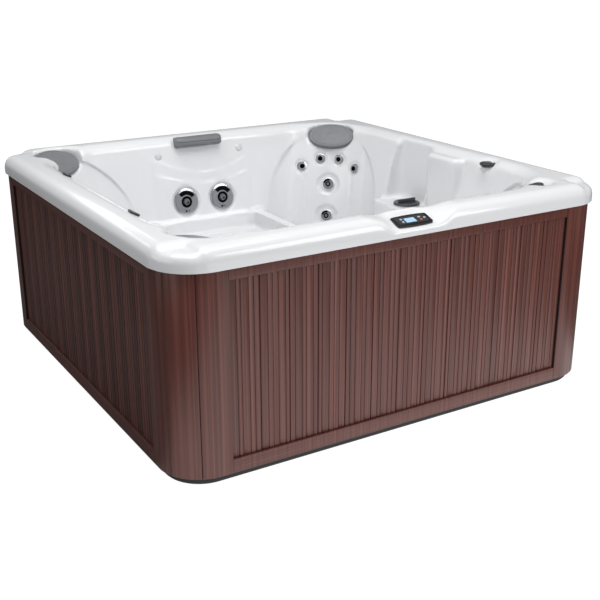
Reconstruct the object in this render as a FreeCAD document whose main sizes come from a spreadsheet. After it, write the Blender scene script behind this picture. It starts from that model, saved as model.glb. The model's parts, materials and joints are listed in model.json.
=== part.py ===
import FreeCAD, Part
import math
import os

from FreeCAD import Matrix, Placement, Rotation, Vector

# Driving dimensions in millimetres. Z is up from the floor, X runs along the front, Y runs to the back.
SIZES = {
    # Rim of the acrylic shell
    "rim_half": 1065,
    "rim_corner": 180,
    "rim_bottom": 851,
    "overall_height": 937,
    "rim_round": 55,
    "rim_flat": 57,
    "rim_slope_drop": 22,
    "corner_drop": 20,
    "corner_step": 2,
    "ridge_inset": 148,
    "shell_wall": 8,
    # Basin above the armrests: its walls lean outward from the level of the two large jets
    "rim_width": 215,
    "basin_corner": 350,
    "large_jet_level": 590,
    "wall_rise": 550,
    "wall_run": 100,
    "armrest_level": 490,
    "overrun": 40,
    "edge_margin": 0.001,
    # Round corner seats
    "bowl_radius": 362,
    "bowl_inset": 356,
    "bowl_top": 872,
    "armrest_inset": 490,
    "back_right_level": 340,
    "back_left_level": 380,
    "front_left_level": 340,
    "front_right_level": 400,
    "back_pad_half": 200,
    "back_pad_rise": 10,
    # Straight seats between them and the foot well
    "bench_half": 300,
    "bench_depth": 475,
    "back_bench_level": 400,
    "left_bench_level": 430,
    "front_bench_level": 470,
    "bench_step": 6,
    "seat_depth": 460,
    "well_corner": 120,
    "well_floor": 130,
    # Filter housing, pillar and knob lobe on the right side
    "housing_depth": 80,
    "housing_near": -60,
    "housing_far": 350,
    "housing_top": 600,
    "housing_corner": 50,
    "bay_near": -10,
    "bay_far": 320,
    "bay_inset": 129,
    "bay_corner": 55,
    "pillar_face": 850,
    "pillar_near": -260,
    "pillar_top": 911,
    "lobe_radius": 44,
    "lobe_depth": 46,
    "knob_inset": 150,
    "knob_y": -425,
    "knob_seat": 912,
    # Control panel and its sloping recess in the front rim
    "panel_x": 5,
    "recess_left": -120,
    "recess_right": 140,
    "recess_depth": 115,
    "recess_back_level": 915,
    "recess_front_level": 877,
    "panel_inset": 52,
    "panel_length": 172,
    "panel_width": 73,
    "panel_bow": 5,
    "panel_rise": 9,
    "panel_body_length": 128,
    "panel_body_width": 46,
    "panel_body_depth": 13,
    "display_length": 50,
    "display_width": 30,
    "display_thickness": 3,
    "display_x": -8,
    "button_radius": 5.5,
    "button_height": 6,
    "button_proud": 2,
    "button_bore": 7,
    "button_left_x": -48,
    "button_right_x": 40,
    "button_end_x": 62,
    "button_y": 9,
    # Cabinet
    "cabinet_inset": 12,
    "cabinet_corner": 180,
    "cabinet_bottom": 36,
    "cabinet_top": 866,
    "cabinet_wall": 24,
    "post_width": 105,
    "seam": 2,
    "stile_width": 123,
    "insert_bottom": 94,
    "insert_top": 806,
    "insert_recess": 10,
    "slat_thickness": 8,
    "groove_width": 3,
    "groove_depth": 2.5,
    "joint_width": 5,
    "joint_depth": 5,
    # Base pan and frame
    "pan_height": 70,
    "pan_wall": 5,
    "pan_chamfer": 8,
    "beam_depth": 50,
    "sill_height": 40,
    "sill_inset": 183,
    "stud_width": 40,
    "stud_inner": 230,
    "stud_outer": 620,
    "beam_setback": 225,
    "beam_height": 60,
    "beam_inset": 85,
    "beam_width": 40,
    "clip_height": 17,
    "clip_drop": 2,
    "support_width": 90,
    "well_support": 240,
    "seat_support": 620,
    # Pillows
    "pillow_half_length": 135,
    "pillow_half_height": 78,
    "pillow_thickness": 34,
    "pillow_clearance": 1.5,
    "left_pillow_half_length": 130,
    "left_pillow_half_height": 88,
    "back_pillow_inset": 265,
    "back_pillow_level": 880,
    "front_pillow_inset": 227,
    "front_pillow_level": 876,
    "left_pillow_x_inset": 259,
    "left_pillow_y_inset": 181,
    "left_pillow_level": 884,
    "bar_pillow_left": -146,
    "bar_pillow_right": 124,
    "bar_pillow_height": 56,
    "bar_pillow_depth": 54,
    "bar_pillow_top": 939,
    "bar_pillow_end": 12,
    # Large jets on the back wall
    "large_jet_spread": 110,
    "large_dish_radius": 79,
    "large_dish_depth": 7,
    "large_flange_radius": 73,
    "large_face_radius": 64,
    "large_barrel_radius": 40,
    "large_bore_radius": 34,
    "large_barrel_length": 70,
    # Medium jets
    "medium_dish_radius": 57,
    "medium_dish_depth": 7,
    "medium_flange_radius": 37,
    "medium_face_radius": 31,
    "medium_barrel_radius": 22,
    "medium_bore_radius": 17,
    "medium_barrel_length": 60,
    "medium_upper_level": 603,
    "medium_lower_level": 424,
    # Small jets
    "small_dish_radius": 36,
    "small_dish_depth": 5,
    "small_flange_radius": 28,
    "small_face_radius": 22,
    "small_barrel_radius": 14,
    "small_bore_radius": 10,
    "small_barrel_length": 50,
    "small_outer_level": 704,
    "small_inner_level": 744,
    # Common to the jets
    "flange_thickness": 4,
    "nut_thickness": 12,
    "nut_overlap": 12,
    "face_thickness": 9,
    "running_gap": 0.08,
    "fit_gap": 0.3,
    "nozzle_share": 0.27,
    "nozzle_length_share": 2.4,
    "mouth_share": 0.35,
    "mouth_offset_share": 0.4,
    "fixed_core_share": 0.55,
    "port_outer_share": 0.78,
    "port_inner_share": 0.46,
    "port_depth_share": 0.6,
    "dot_radius_share": 0.05,
    "dot_spread_share": 0.1,
    "dot_drop_share": 0.66,
    "dot_depth_share": 0.4,
    # Small fittings
    "cap_spread": 245,
    "cap_level": 848,
    "cap_radius": 20,
    "cap_thickness": 4,
    "cap_stem_radius": 8,
    "cap_stem_length": 16,
    "suction_spread": 150,
    "suction_radius": 56,
    "suction_thickness": 12,
    "suction_stub_radius": 28,
    "suction_stub_length": 12,
    "light_level": 300,
    "light_radius": 48,
    "light_thickness": 9,
    "light_stub_radius": 30,
    "light_stub_length": 24,
    "knob_radius": 40,
    "knob_height": 12,
    "knob_stem_radius": 10,
    "knob_stem_length": 30,
    "valve_radius": 12,
    "valve_length": 26,
    "valve_stem_radius": 5,
    "lever_radius": 21,
    "lever_tip_radius": 7,
    "lever_reach": 54,
    "lever_height": 9,
    "lever_slope_share": 0.3,
    "left_back_lever_y": 372,
    "left_front_lever_y": -440,
    "front_lever_x_inset": 272,
    "front_lever_y_inset": 166,
    "front_lever_level": 921,
    "front_lever_seat": 64,
    # Filter
    "filter_inset": 207,
    "filter_y": 135,
    "canister_radius": 66,
    "canister_wall": 4,
    "canister_depth": 300,
    "canister_flange": 4,
    "lid_radius": 70,
    "lid_thickness": 12,
    "lid_plug": 12,
    "fin_length": 112,
    "fin_height": 18,
    "fin_thickness": 12,
    "cartridge_radius": 56,
    "cartridge_core": 22,
    "cartridge_height": 270,
    # Equipment under the front seat
    "pump_x": -150,
    "pump_axis": 95,
    "pump_wet_radius": 84,
    "pump_wet_length": 90,
    "pump_wet_face": -430,
    "pump_motor_radius": 72,
    "pump_motor_length": 230,
    "pump_port_radius": 26,
    "pump_port_length": 30,
    "pump_foot_width": 110,
    "box_x": 250,
    "box_y": -830,
    "box_length": 380,
    "box_depth": 150,
    "box_height": 300,
    "heater_radius": 35,
    "heater_length": 340,
    "heater_saddle": 10,
    "saddle_width": 30,
    "pipe_radius": 20,
    "pipe_wall": 3,
    "pipe_low": 250,
    "pipe_side": 520,
    "pipe_back": 950,
}

# Sizes that follow from the driving ones
FOLLOWING_SIZES = {
    "ridge_end": "rim_half - ridge_inset",
    "basin_half": "rim_half - rim_width",
    "bowl_centre": "basin_half - bowl_inset",
    "armrest_outer": "basin_half - armrest_inset",
    "bench_front": "basin_half - bench_depth",
    "well_half": "basin_half - seat_depth",
    "housing_face": "basin_half - housing_depth",
    "bay_outer": "rim_half - bay_inset",
    "knob_x": "rim_half - knob_inset",
    "recess_back": "rim_half - recess_depth",
    "panel_y": "rim_half - panel_inset",
    "cabinet_half": "rim_half - cabinet_inset",
    "post_line": "cabinet_half - post_width",
    "insert_half": "post_line - stile_width",
    "sill_half": "cabinet_half - sill_inset",
    "beam_reach": "cabinet_half - beam_inset",
    "beam_half": "sill_half - beam_setback",
    "back_pillow_reach": "rim_half - back_pillow_inset",
    "front_pillow_reach": "rim_half - front_pillow_inset",
    "left_pillow_x": "rim_half - left_pillow_x_inset",
    "left_pillow_y": "rim_half - left_pillow_y_inset",
    "front_lever_x": "rim_half - front_lever_x_inset",
    "front_lever_y": "front_lever_y_inset - rim_half",
    "filter_x": "rim_half - filter_inset",
}

# Shares, chosen by eye from the photograph: the widths of the slats of one board, and the crown of a pillow
SLAT_SHARES = (0.17, 0.26, 0.14, 0.24, 0.19)
BOARD_COUNT = 13
PILLOW_RADIUS_SHARES = (1.0, 1.0, 0.97, 0.90, 0.86, 0.84, 0.72, 0.69, 0.66, 0.45, 0.42, 0.39, 0.20)
PILLOW_HEIGHT_SHARES = (0.0, 0.55, 0.74, 0.88, 0.90, 0.84, 0.93, 0.88, 0.94, 0.985, 0.94, 0.99, 1.0)
# Section of the straight pillow: shares of its depth and height, round the bar from its lower back edge
BAR_SHARES = ((0, 0), (0.45, 0), (0.80, 0.10), (0.97, 0.30), (1.0, 0.46), (0.93, 0.52), (0.96, 0.60),
              (0.90, 0.80), (0.74, 0.94), (0.45, 1.0), (0, 1.0))
BAR_END_SHARE = 0.84
BAR_MIDDLE_SHARE = 0.5

# Angles in degrees, read off the photograph
SMALL_JET_DEGREES = (70.4, 53.7, 36.3, 19.6)
PORT_SWEEP_DEGREES = 84
PILLOW_TILT_DEGREES = 45
LEFT_PILLOW_TILT_DEGREES = 55
LEFT_PILLOW_TURN_DEGREES = 20

doc = FreeCAD.newDocument("HotTub")
sheet = doc.addObject("Spreadsheet::Sheet", "Sizes")
cells = {alias: str(number) for alias, number in SIZES.items()}
cells.update({alias: "=" + rule for alias, rule in FOLLOWING_SIZES.items()})
for row, (alias, text) in enumerate(cells.items(), start=1):
    sheet.set("A%d" % row, alias)
    sheet.set("B%d" % row, text)
    sheet.setAlias("B%d" % row, alias)
doc.recompute()


def size(alias):
    """One driving dimension, read from the sheet."""
    return float(sheet.get(alias))


UP = Vector(0, 0, 1)
BACK = Vector(0, 1, 0)
RIGHT = Vector(1, 0, 0)
over = size("overrun")
wall = size("shell_wall")
top = size("overall_height")
lean = size("wall_run") / size("wall_rise")
fit = size("fit_gap")
nodes = {}


def facing(point, outward, upward=UP):
    """A placement at point whose own Z looks along outward and whose own Y leans towards upward."""
    third = Vector(outward).normalize()
    first = upward.cross(third).normalize()
    return Placement(point, Rotation(first, third.cross(first), third, "ZXY"))


def bind(thing, **expressions):
    """Binds properties of a document object to cells of the sheet."""
    for name, text in expressions.items():
        thing.setExpression(name, text)
    return thing


def box(name, x, y, z, length, width, height):
    """A block from its low corner and its three sizes, all given as expressions on the sheet."""
    block = doc.addObject("Part::Box", name)
    for path, text in ((".Placement.Base.x", x), (".Placement.Base.y", y), (".Placement.Base.z", z)):
        block.setExpression(path, text)
    return bind(block, Length=length, Width=width, Height=height)


def rod(name, radius, height, place=None):
    """A cylinder from its radius and height, both expressions, standing at a placement."""
    cylinder = doc.addObject("Part::Cylinder", name)
    if place:
        cylinder.Placement = place
    return bind(cylinder, Radius=radius, Height=height)


def joined(name, parts):
    """Several objects made into one solid."""
    union = doc.addObject("Part::MultiFuse", name)
    union.Shapes = parts
    return union


def grouped(name, parts):
    """Several separate solids kept as one object."""
    group = doc.addObject("Part::Compound", name)
    group.Links = parts
    return group


def less(name, base, tools):
    """A base object with tools taken away from it."""
    result = doc.addObject("Part::Cut", name)
    result.Base = base
    result.Tool = tools[0] if len(tools) == 1 else joined(name + "_tools", tools)
    return result


def formed(name, shape, place=None):
    """An object that holds a shape worked out from the sheet."""
    feature = doc.addObject("Part::Feature", name)
    feature.Shape = shape
    if place:
        feature.Placement = place
    return feature


def node(label, thing):
    """Names a finished sub-part."""
    thing.Label = label
    nodes[label] = thing


def rounded_wire(x_low, y_low, x_high, y_high, corner, z):
    """A level rectangle with round corners."""
    edges = []
    corners = (
        (x_high - corner, y_high - corner, 0),
        (x_low + corner, y_high - corner, 90),
        (x_low + corner, y_low + corner, 180),
        (x_high - corner, y_low + corner, 270),
    )
    for x, y, start in corners:
        circle = Part.Circle(Vector(x, y, z), UP, corner)
        edges.append(Part.Arc(circle, math.radians(start), math.radians(start + 90)).toShape())
    sides = []
    for index, arc in enumerate(edges):
        follower = edges[(index + 1) % len(edges)]
        begin, end = arc.Vertexes[-1].Point, follower.Vertexes[0].Point
        sides.extend((arc, Part.makeLine(begin, end)))
    return Part.Wire(sides)


def square_wire(half, corner, z):
    """A level square with round corners, centred on the tub."""
    return rounded_wire(-half, -half, half, half, corner, z)


def prism(half, corner, bottom, height):
    """An upright block with a rounded square plan, centred on the tub."""
    return Part.Face(square_wire(half, corner, bottom)).extrude(UP * height)


def turned(shape, quarter):
    """A copy of a shape turned about the tub's axis by quarter turns."""
    copy = shape.copy()
    copy.rotate(Vector(), UP, quarter * 90)
    return copy


def side_prism(points, x_low, x_high):
    """A bar along X whose section is a polygon of (y, z) points."""
    outline = [Vector(x_low, y, z) for y, z in points]
    return Part.Face(Part.makePolygon(outline + outline[:1])).extrude(RIGHT * (x_high - x_low))


def wall_at(z):
    """Distance of the basin's leaning wall from the axis at a level."""
    return size("basin_half") + (z - size("large_jet_level")) * lean


def bowl_at(z):
    """Distance of a corner seat's centre from both axes at a level."""
    return size("bowl_centre") + (z - size("large_jet_level")) * lean


def ellipse_form(half_length, half_height, low, high):
    """An upright elliptical block between two levels of its own frame."""
    stretch = Matrix()
    stretch.scale(1, half_height / half_length, 1)
    round_form = Part.makeCylinder(half_length, high - low, Vector(0, 0, low))
    return round_form.transformGeometry(stretch)


# Places on the shell that several pieces share
back_normal = Vector(0, -1, lean).normalize()
seat_axis = Vector(lean, lean, 1).normalize()


def corner_seat_normal(angle):
    """The direction from the back of the back right seat into the water, by its angle from X."""
    level = Vector(-math.cos(angle), -math.sin(angle), 0)
    return (level - seat_axis * level.dot(seat_axis)).normalize()


def corner_seat_point(angle, z, depth):
    """A point of that seat's raised back pad, moved behind its surface by a depth."""
    centre = bowl_at(z)
    level = Vector(math.cos(angle), math.sin(angle), 0)
    slant = (level - seat_axis * level.dot(seat_axis)).Length
    reach = (size("bowl_radius") - size("back_pad_rise") + depth) / slant
    return Vector(centre, centre, z) + level * reach


large_places = [
    facing(Vector(side * size("large_jet_spread"), size("basin_half"), size("large_jet_level"))
           - back_normal * size("large_dish_depth"), back_normal)
    for side in (-1, 1)
]
DIAGONAL = math.radians(45)
small_angles = [math.radians(degrees) for degrees in SMALL_JET_DEGREES]
small_levels = [size("small_outer_level"), size("small_inner_level")]
small_levels = small_levels + small_levels[::-1]
medium_levels = [size("medium_upper_level"), size("medium_lower_level")]
small_places = [
    facing(corner_seat_point(angle, z, size("small_dish_depth")), corner_seat_normal(angle))
    for angle, z in zip(small_angles, small_levels)
]
medium_places = [
    facing(corner_seat_point(DIAGONAL, z, size("medium_dish_depth")), corner_seat_normal(DIAGONAL))
    for z in medium_levels
]
half_turn = Placement(Vector(), Rotation(UP, 180))
medium_places.extend([half_turn.multiply(place) for place in medium_places])

cap_places = [
    facing(Vector(side * size("cap_spread"), wall_at(size("cap_level")), size("cap_level")), back_normal)
    for side in (-1, 1)
]

pillow_tilt = math.radians(PILLOW_TILT_DEGREES)
left_tilt = math.radians(LEFT_PILLOW_TILT_DEGREES)
left_turn = math.radians(LEFT_PILLOW_TURN_DEGREES)
# Middle of each pillow's front, and the way that it looks
back_reach = size("back_pillow_reach")
front_reach = size("front_pillow_reach")
back_right_front = Vector(back_reach, back_reach, size("back_pillow_level"))
front_left_front = Vector(-front_reach, -front_reach, size("front_pillow_level"))
back_left_front = Vector(-size("left_pillow_x"), size("left_pillow_y"), size("left_pillow_level"))
level_share = math.cos(pillow_tilt) * math.cos(DIAGONAL)
left_share = math.cos(left_tilt)
pillow_looks = {
    "back_right_pillow": (back_right_front, Vector(-level_share, -level_share, math.sin(pillow_tilt))),
    "front_left_pillow": (front_left_front, Vector(level_share, level_share, math.sin(pillow_tilt))),
    "back_left_pillow": (
        back_left_front,
        Vector(math.sin(left_turn) * left_share, -math.cos(left_turn) * left_share,
               math.sin(left_tilt)),
    ),
}
pillow_sizes = {
    "back_right_pillow": (size("pillow_half_length"), size("pillow_half_height")),
    "front_left_pillow": (size("pillow_half_length"), size("pillow_half_height")),
    "back_left_pillow": (size("left_pillow_half_length"), size("left_pillow_half_height")),
}
pillow_places = {
    name: facing(front - look * size("pillow_thickness"), look)
    for name, (front, look) in pillow_looks.items()
}

panel_slope = math.atan2(
    size("recess_back_level") - size("recess_front_level"), size("rim_half") - size("recess_back"))
panel_normal = Vector(0, -math.sin(panel_slope), math.cos(panel_slope))


def recess_level(y):
    """Level of the panel's sloping seat at a distance y in front of the axis."""
    return size("recess_back_level") - (y - size("recess_back")) * math.tan(panel_slope)


panel_place = facing(
    Vector(size("panel_x"), -size("panel_y"), recess_level(size("panel_y"))), panel_normal, BACK)

# The rim's inner slope carries three small levers
slope_low = wall_at(top - size("rim_slope_drop"))
slope_high = size("rim_half") - size("rim_round") - size("rim_flat")
slope_angle = math.atan2(size("rim_slope_drop"), slope_high - slope_low)
slope_middle = slope_low + (slope_high - slope_low) * size("lever_slope_share")
slope_level = top - size("rim_slope_drop") * (1 - size("lever_slope_share"))
lever_places = {
    "left_back_air_lever": facing(
        Vector(-slope_middle, size("left_back_lever_y"), slope_level),
        Vector(math.sin(slope_angle), 0, math.cos(slope_angle)), -BACK),
    "left_front_air_lever": facing(
        Vector(-slope_middle, size("left_front_lever_y"), slope_level),
        Vector(math.sin(slope_angle), 0, math.cos(slope_angle)), -BACK),
    "front_air_lever": facing(
        Vector(size("front_lever_x"), size("front_lever_y"), size("front_lever_level")), UP, RIGHT),
}

# Acrylic shell
rim_floor = size("rim_bottom")


def rim_block(inset):
    """The rim's outer form drawn in by inset: raised along the four sides, and a step in at the corners."""
    half = size("rim_half") - inset
    corner = size("rim_corner") - inset
    drop = size("corner_drop")
    step = size("corner_step")
    bottom = -over
    low = prism(half - step, corner - step, bottom, top - inset - drop - bottom)
    high = prism(half, corner, bottom, top - inset - bottom)
    blocks = []
    for block, radius in ((low, size("rim_round") - drop), (high, size("rim_round"))):
        upper = block.BoundBox.ZMax
        ring = [edge for edge in block.Edges if edge.BoundBox.ZMin > upper - size("edge_margin")]
        blocks.append(block.makeFillet(radius - inset, ring))
    low, high = blocks
    reach = size("ridge_end") - inset
    for quarter in range(4):
        corner_box = Part.makeBox(half, half, top, Vector(reach, reach, rim_floor))
        high = high.cut(turned(corner_box, quarter))
    return low.fuse(high).removeSplitter()


def basin_parts(grow):
    """The hollows that the water fills, each drawn outward by grow."""
    lip_low = slope_low + grow
    lip_high = slope_high + grow
    lip_rise = size("rim_slope_drop") * (1 + over / (slope_high - slope_low))
    low_corner = size("basin_corner") + grow
    slope = Part.makeLoft(
        [square_wire(lip_low, low_corner, top - size("rim_slope_drop") - grow),
         square_wire(lip_high + over, low_corner + lip_high - lip_low + over,
                     top - size("rim_slope_drop") - grow + lip_rise)],
        True, True)
    floor = size("armrest_level") - grow
    basin = Part.makeLoft(
        [square_wire(wall_at(floor) + grow, low_corner, floor),
         square_wire(wall_at(top + over) + grow, low_corner, top + over)],
        True, True)
    parts = [slope, basin]
    levels = ("back_right_level", "back_left_level", "front_left_level", "front_right_level")
    for quarter, level in enumerate(levels):
        parts.append(turned(bowl(size(level) - grow, size("bowl_top") + grow, grow), quarter))
    benches = ((0, "back_bench_level"), (1, "left_bench_level"), (2, "front_bench_level"))
    for quarter, level in benches:
        parts.append(turned(bench(size(level) - grow, grow), quarter))
    well_low = size("well_floor") - grow
    well_half = size("well_half") + grow
    parts.append(prism(well_half, size("well_corner") + grow, well_low, floor + over - well_low))
    return parts


def leaning_round(radius, low, high):
    """A round block along a corner seat's leaning axis, longer than the two levels at both ends."""
    start = bowl_at(low - radius)
    height = (high - low + 2 * radius) / seat_axis.z
    return Part.makeCylinder(radius, height, Vector(start, start, low - radius), seat_axis)


def bowl(low, high, grow):
    """One corner seat: a leaning round hollow kept to its own corner and to its own levels."""
    edge = size("armrest_outer") - grow
    reach = size("rim_half")
    corner = Part.makeBox(reach, reach, high - low, Vector(edge, edge, low))
    return leaning_round(size("bowl_radius") + grow, low, high).common(corner)


def bench(low, grow):
    """One straight seat between two armrests, its back following the basin's leaning wall."""
    half = size("bench_half") + grow
    front = size("bench_front") - grow
    high = size("armrest_level") + over
    back = grow - size("bench_step")
    points = ((front, low), (wall_at(low) + back, low), (wall_at(high) + back, high), (front, high))
    return side_prism(points, -half, half)


def back_pad(grow):
    """The raised pad on the back of a corner seat that has jets."""
    low = size("back_right_level") - over
    high = size("bowl_top") + over
    outer = leaning_round(size("bowl_radius") + over, low, high)
    inner = leaning_round(size("bowl_radius") - size("back_pad_rise") + grow, low, high)
    half = size("back_pad_half") - grow
    reach = size("rim_half") * 2
    strip = Part.makeBox(reach, half * 2, high - low, Vector(bowl_at(low) / math.cos(DIAGONAL), -half, low))
    strip.rotate(Vector(), UP, math.degrees(DIAGONAL))
    return outer.cut(inner).common(strip)


def right_blocks(grow):
    """The filter housing, the pillar beside it and the lobe under the diverter knob."""
    outer = size("rim_half")
    corner = size("housing_corner") - grow
    face = size("housing_face") + grow
    housing = Part.Face(rounded_wire(
        face, size("housing_near") + grow, outer, size("housing_far") - grow, corner, 0))
    pillar = Part.Face(rounded_wire(
        size("pillar_face") + grow, size("pillar_near") + grow, outer, size("bay_near") - grow, corner, 0))
    lobe_top = size("knob_seat") - grow
    lobe_point = Vector(size("knob_x"), size("knob_y"), lobe_top - size("lobe_depth"))
    lobe = Part.makeCylinder(size("lobe_radius") - grow, size("lobe_depth"), lobe_point)
    return [
        housing.extrude(UP * (size("housing_top") - grow)),
        pillar.extrude(UP * (size("pillar_top") - grow)),
        lobe,
    ]


def seats_and_recesses(grow):
    """The filter bay, the knob's and the panel's seats, the pillow seats and the jet dishes."""
    bay = Part.Face(rounded_wire(
        size("housing_face"), size("bay_near") - grow, size("bay_outer") + grow,
        size("bay_far") + grow, size("bay_corner") + grow, size("housing_top") - grow))
    parts = [bay.extrude(UP * (top - size("housing_top") + over))]
    knob_point = Vector(size("knob_x"), size("knob_y"), size("knob_seat") - grow)
    parts.append(Part.makeCylinder(size("lobe_radius") + grow, over, knob_point))
    lever_point = Vector(size("front_lever_x"), size("front_lever_y"), size("front_lever_level") - grow)
    parts.append(Part.makeCylinder(size("front_lever_seat") + grow, over, lever_point))
    drop = grow / math.cos(panel_slope)
    back = size("recess_back") - grow
    front = size("rim_half") + over
    panel_points = (
        (-back, recess_level(back) - drop), (-front, recess_level(front) - drop),
        (-front, top + over), (-back, top + over))
    parts.append(side_prism(panel_points, size("recess_left") - grow, size("recess_right") + grow))
    margin = size("pillow_clearance") + grow
    seat_rise = size("pillow_thickness") + size("pillow_half_length")
    for name, place in pillow_places.items():
        half_length, half_height = pillow_sizes[name]
        seat = ellipse_form(half_length + margin, half_height + margin, -grow, seat_rise)
        seat.Placement = place
        parts.append(seat)
    bar_low = size("bar_pillow_top") - size("bar_pillow_height") - fit - grow
    bar_back = wall_at(size("bar_pillow_top")) + grow
    bar_front = wall_at(bar_low) - size("bar_pillow_depth")
    seat = Part.makeBox(
        size("bar_pillow_right") - size("bar_pillow_left") + 2 * margin, bar_back - bar_front,
        top + over - bar_low, Vector(size("bar_pillow_left") - margin, bar_front, bar_low))
    parts.append(seat)
    for kind, places in (("large", large_places), ("medium", medium_places), ("small", small_places)):
        for place in places:
            dish = Part.makeCylinder(
                size(kind + "_dish_radius") + grow, size(kind + "_dish_depth") + over, Vector(0, 0, -grow))
            dish.Placement = place
            parts.append(dish)
    return parts


def hollow(grow):
    """Everything inside the basin's surface, drawn outward by grow."""
    parts = basin_parts(grow)
    water = parts[0].fuse(parts[1:])
    pad = back_pad(grow)
    water = water.cut(right_blocks(grow) + [pad, turned(pad, 2)])
    recesses = seats_and_recesses(grow)
    return water.fuse(recesses)


def fitting_holes():
    """The holes through the shell for jets, levers, knob, covers, light, panel and filter."""
    holes = []
    reach = over * 3

    def hole(radius, place):
        cylinder = Part.makeCylinder(radius + fit, reach, Vector(0, 0, -reach / 2))
        cylinder.Placement = place
        holes.append(cylinder)

    for kind, places in (("large", large_places), ("medium", medium_places), ("small", small_places)):
        for place in places:
            hole(size(kind + "_barrel_radius"), place)
    for place in cap_places:
        hole(size("cap_stem_radius"), place)
    for place in suction_places:
        hole(size("suction_stub_radius"), place)
    for place in lever_places.values():
        hole(size("valve_radius"), place)
    hole(size("light_stub_radius"), light_place)
    hole(size("knob_stem_radius"), knob_place)
    hole(size("canister_radius"), filter_place)
    length = size("panel_body_length") / 2 + fit
    width = size("panel_body_width") / 2 + fit
    window = Part.makeBox(length * 2, width * 2, reach, Vector(-length, -width, -reach / 2))
    window.Placement = panel_place
    holes.append(window)
    return holes


suction_places = [
    Placement(Vector(side * size("suction_spread"), 0, size("well_floor")), Rotation()) for side in (-1, 1)
]
light_place = facing(Vector(-size("well_half"), 0, size("light_level")), RIGHT)
knob_place = Placement(Vector(size("knob_x"), size("knob_y"), size("knob_seat")), Rotation())
filter_place = Placement(Vector(size("filter_x"), size("filter_y"), size("housing_top")), Rotation())


def shell_shape():
    """The moulded shell: rim and basin in one wall of even thickness."""
    outer = rim_block(0)
    skirt_space = rim_block(wall)
    skirt = outer.cut(skirt_space)
    under = Part.makeBox(size("rim_half") * 4, size("rim_half") * 4, rim_floor + over * 2)
    under.translate(Vector(-size("rim_half") * 2, -size("rim_half") * 2, -over * 2))
    skirt = skirt.cut(under)
    basin = hollow(wall).common(outer)
    shell = skirt.fuse(basin).cut(hollow(0)).cut(fitting_holes())
    return shell.removeSplitter()


shell = shell_shape()
print("shell", shell.isValid(), len(shell.Solids), round(shell.Volume / 1e6, 2), "litres of wall")
node("shell", formed("Shell", shell.Solids[0] if len(shell.Solids) == 1 else shell))

# Base pan: a tray with a chamfered foot


def pan_shape():
    """The tray that the cabinet and the frame stand in."""
    half = size("cabinet_half") - size("cabinet_wall")
    corner = size("cabinet_corner") - size("cabinet_wall")
    block = prism(half, corner, 0, size("pan_height"))
    foot = [edge for edge in block.Edges if edge.BoundBox.ZMax < size("pan_chamfer")]
    block = block.makeChamfer(size("pan_chamfer"), foot)
    inset = size("pan_wall")
    return block.cut(prism(half - inset, corner - inset, inset, size("pan_height")))


node("base_pan", formed("BasePan", pan_shape()))

# Frame: sills on the pan's floor, studs on the sills and beams under the rim


def turned_copy(name, thing, quarter):
    """The same object on another side of the tub."""
    copy = grouped(name, [thing])
    copy.Placement = Placement(Vector(), Rotation(UP, quarter * 90))
    return copy


sill_y = "Sizes.cabinet_half - Sizes.cabinet_wall - Sizes.pan_wall - Sizes.beam_depth"
stud_low = "Sizes.pan_wall + Sizes.sill_height"
beam_low = "Sizes.overall_height - Sizes.shell_wall - Sizes.beam_height"
sill = box("Sill", "-Sizes.sill_half", sill_y, "Sizes.pan_wall",
           "Sizes.sill_half * 2", "Sizes.beam_depth", "Sizes.sill_height")
beam = box("Beam", "-Sizes.beam_half", "Sizes.beam_reach", beam_low,
           "Sizes.beam_half * 2", "Sizes.beam_width", "Sizes.beam_height")
half_beams = []
front_beam_inner = "(Sizes.stud_inner - Sizes.stud_width / 2)"
for index, start in enumerate(("-Sizes.beam_half", front_beam_inner)):
    half_beams.append(box(
        "HalfBeam%d" % index, start, "Sizes.beam_reach", beam_low,
        "Sizes.beam_half - " + front_beam_inner, "Sizes.beam_width", "Sizes.beam_height"))
rails = [turned_copy("SideSill%d" % quarter, sill, quarter) for quarter in range(4)]
rails.extend([turned_copy("SideBeam%d" % quarter, beam, quarter) for quarter in (0, 1, 3)])
rails.extend([turned_copy("FrontBeam%d" % index, part, 2) for index, part in enumerate(half_beams)])
node("frame_rails", grouped("FrameRails", rails))

studs = []
stud_middles = ("-Sizes.stud_outer", "-Sizes.stud_inner", "Sizes.stud_inner", "Sizes.stud_outer")
for index, middle in enumerate(stud_middles):
    studs.append(box(
        "Stud%d" % index, middle + " - Sizes.stud_width / 2", sill_y, stud_low,
        "Sizes.stud_width", "Sizes.beam_depth", beam_low + " - (" + stud_low + ")"))
side_studs = grouped("SideStuds", studs)
node("frame_studs", grouped("FrameStuds", [
    turned_copy("Studs%d" % quarter, side_studs, quarter) for quarter in range(4)]))

clips = []
clip_y = "(" + sill_y + " + Sizes.beam_depth)"
for index, middle in enumerate(stud_middles):
    clips.append(box(
        "Clip%d" % index, middle + " - Sizes.stud_width / 2", clip_y,
        "Sizes.cabinet_top - Sizes.clip_drop - Sizes.clip_height", "Sizes.stud_width",
        "Sizes.cabinet_half - Sizes.cabinet_wall - " + clip_y, "Sizes.clip_height"))
side_clips = grouped("SideClips", clips)
node("panel_clips", grouped("PanelClips", [
    turned_copy("Clips%d" % quarter, side_clips, quarter) for quarter in range(4)]))

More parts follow.
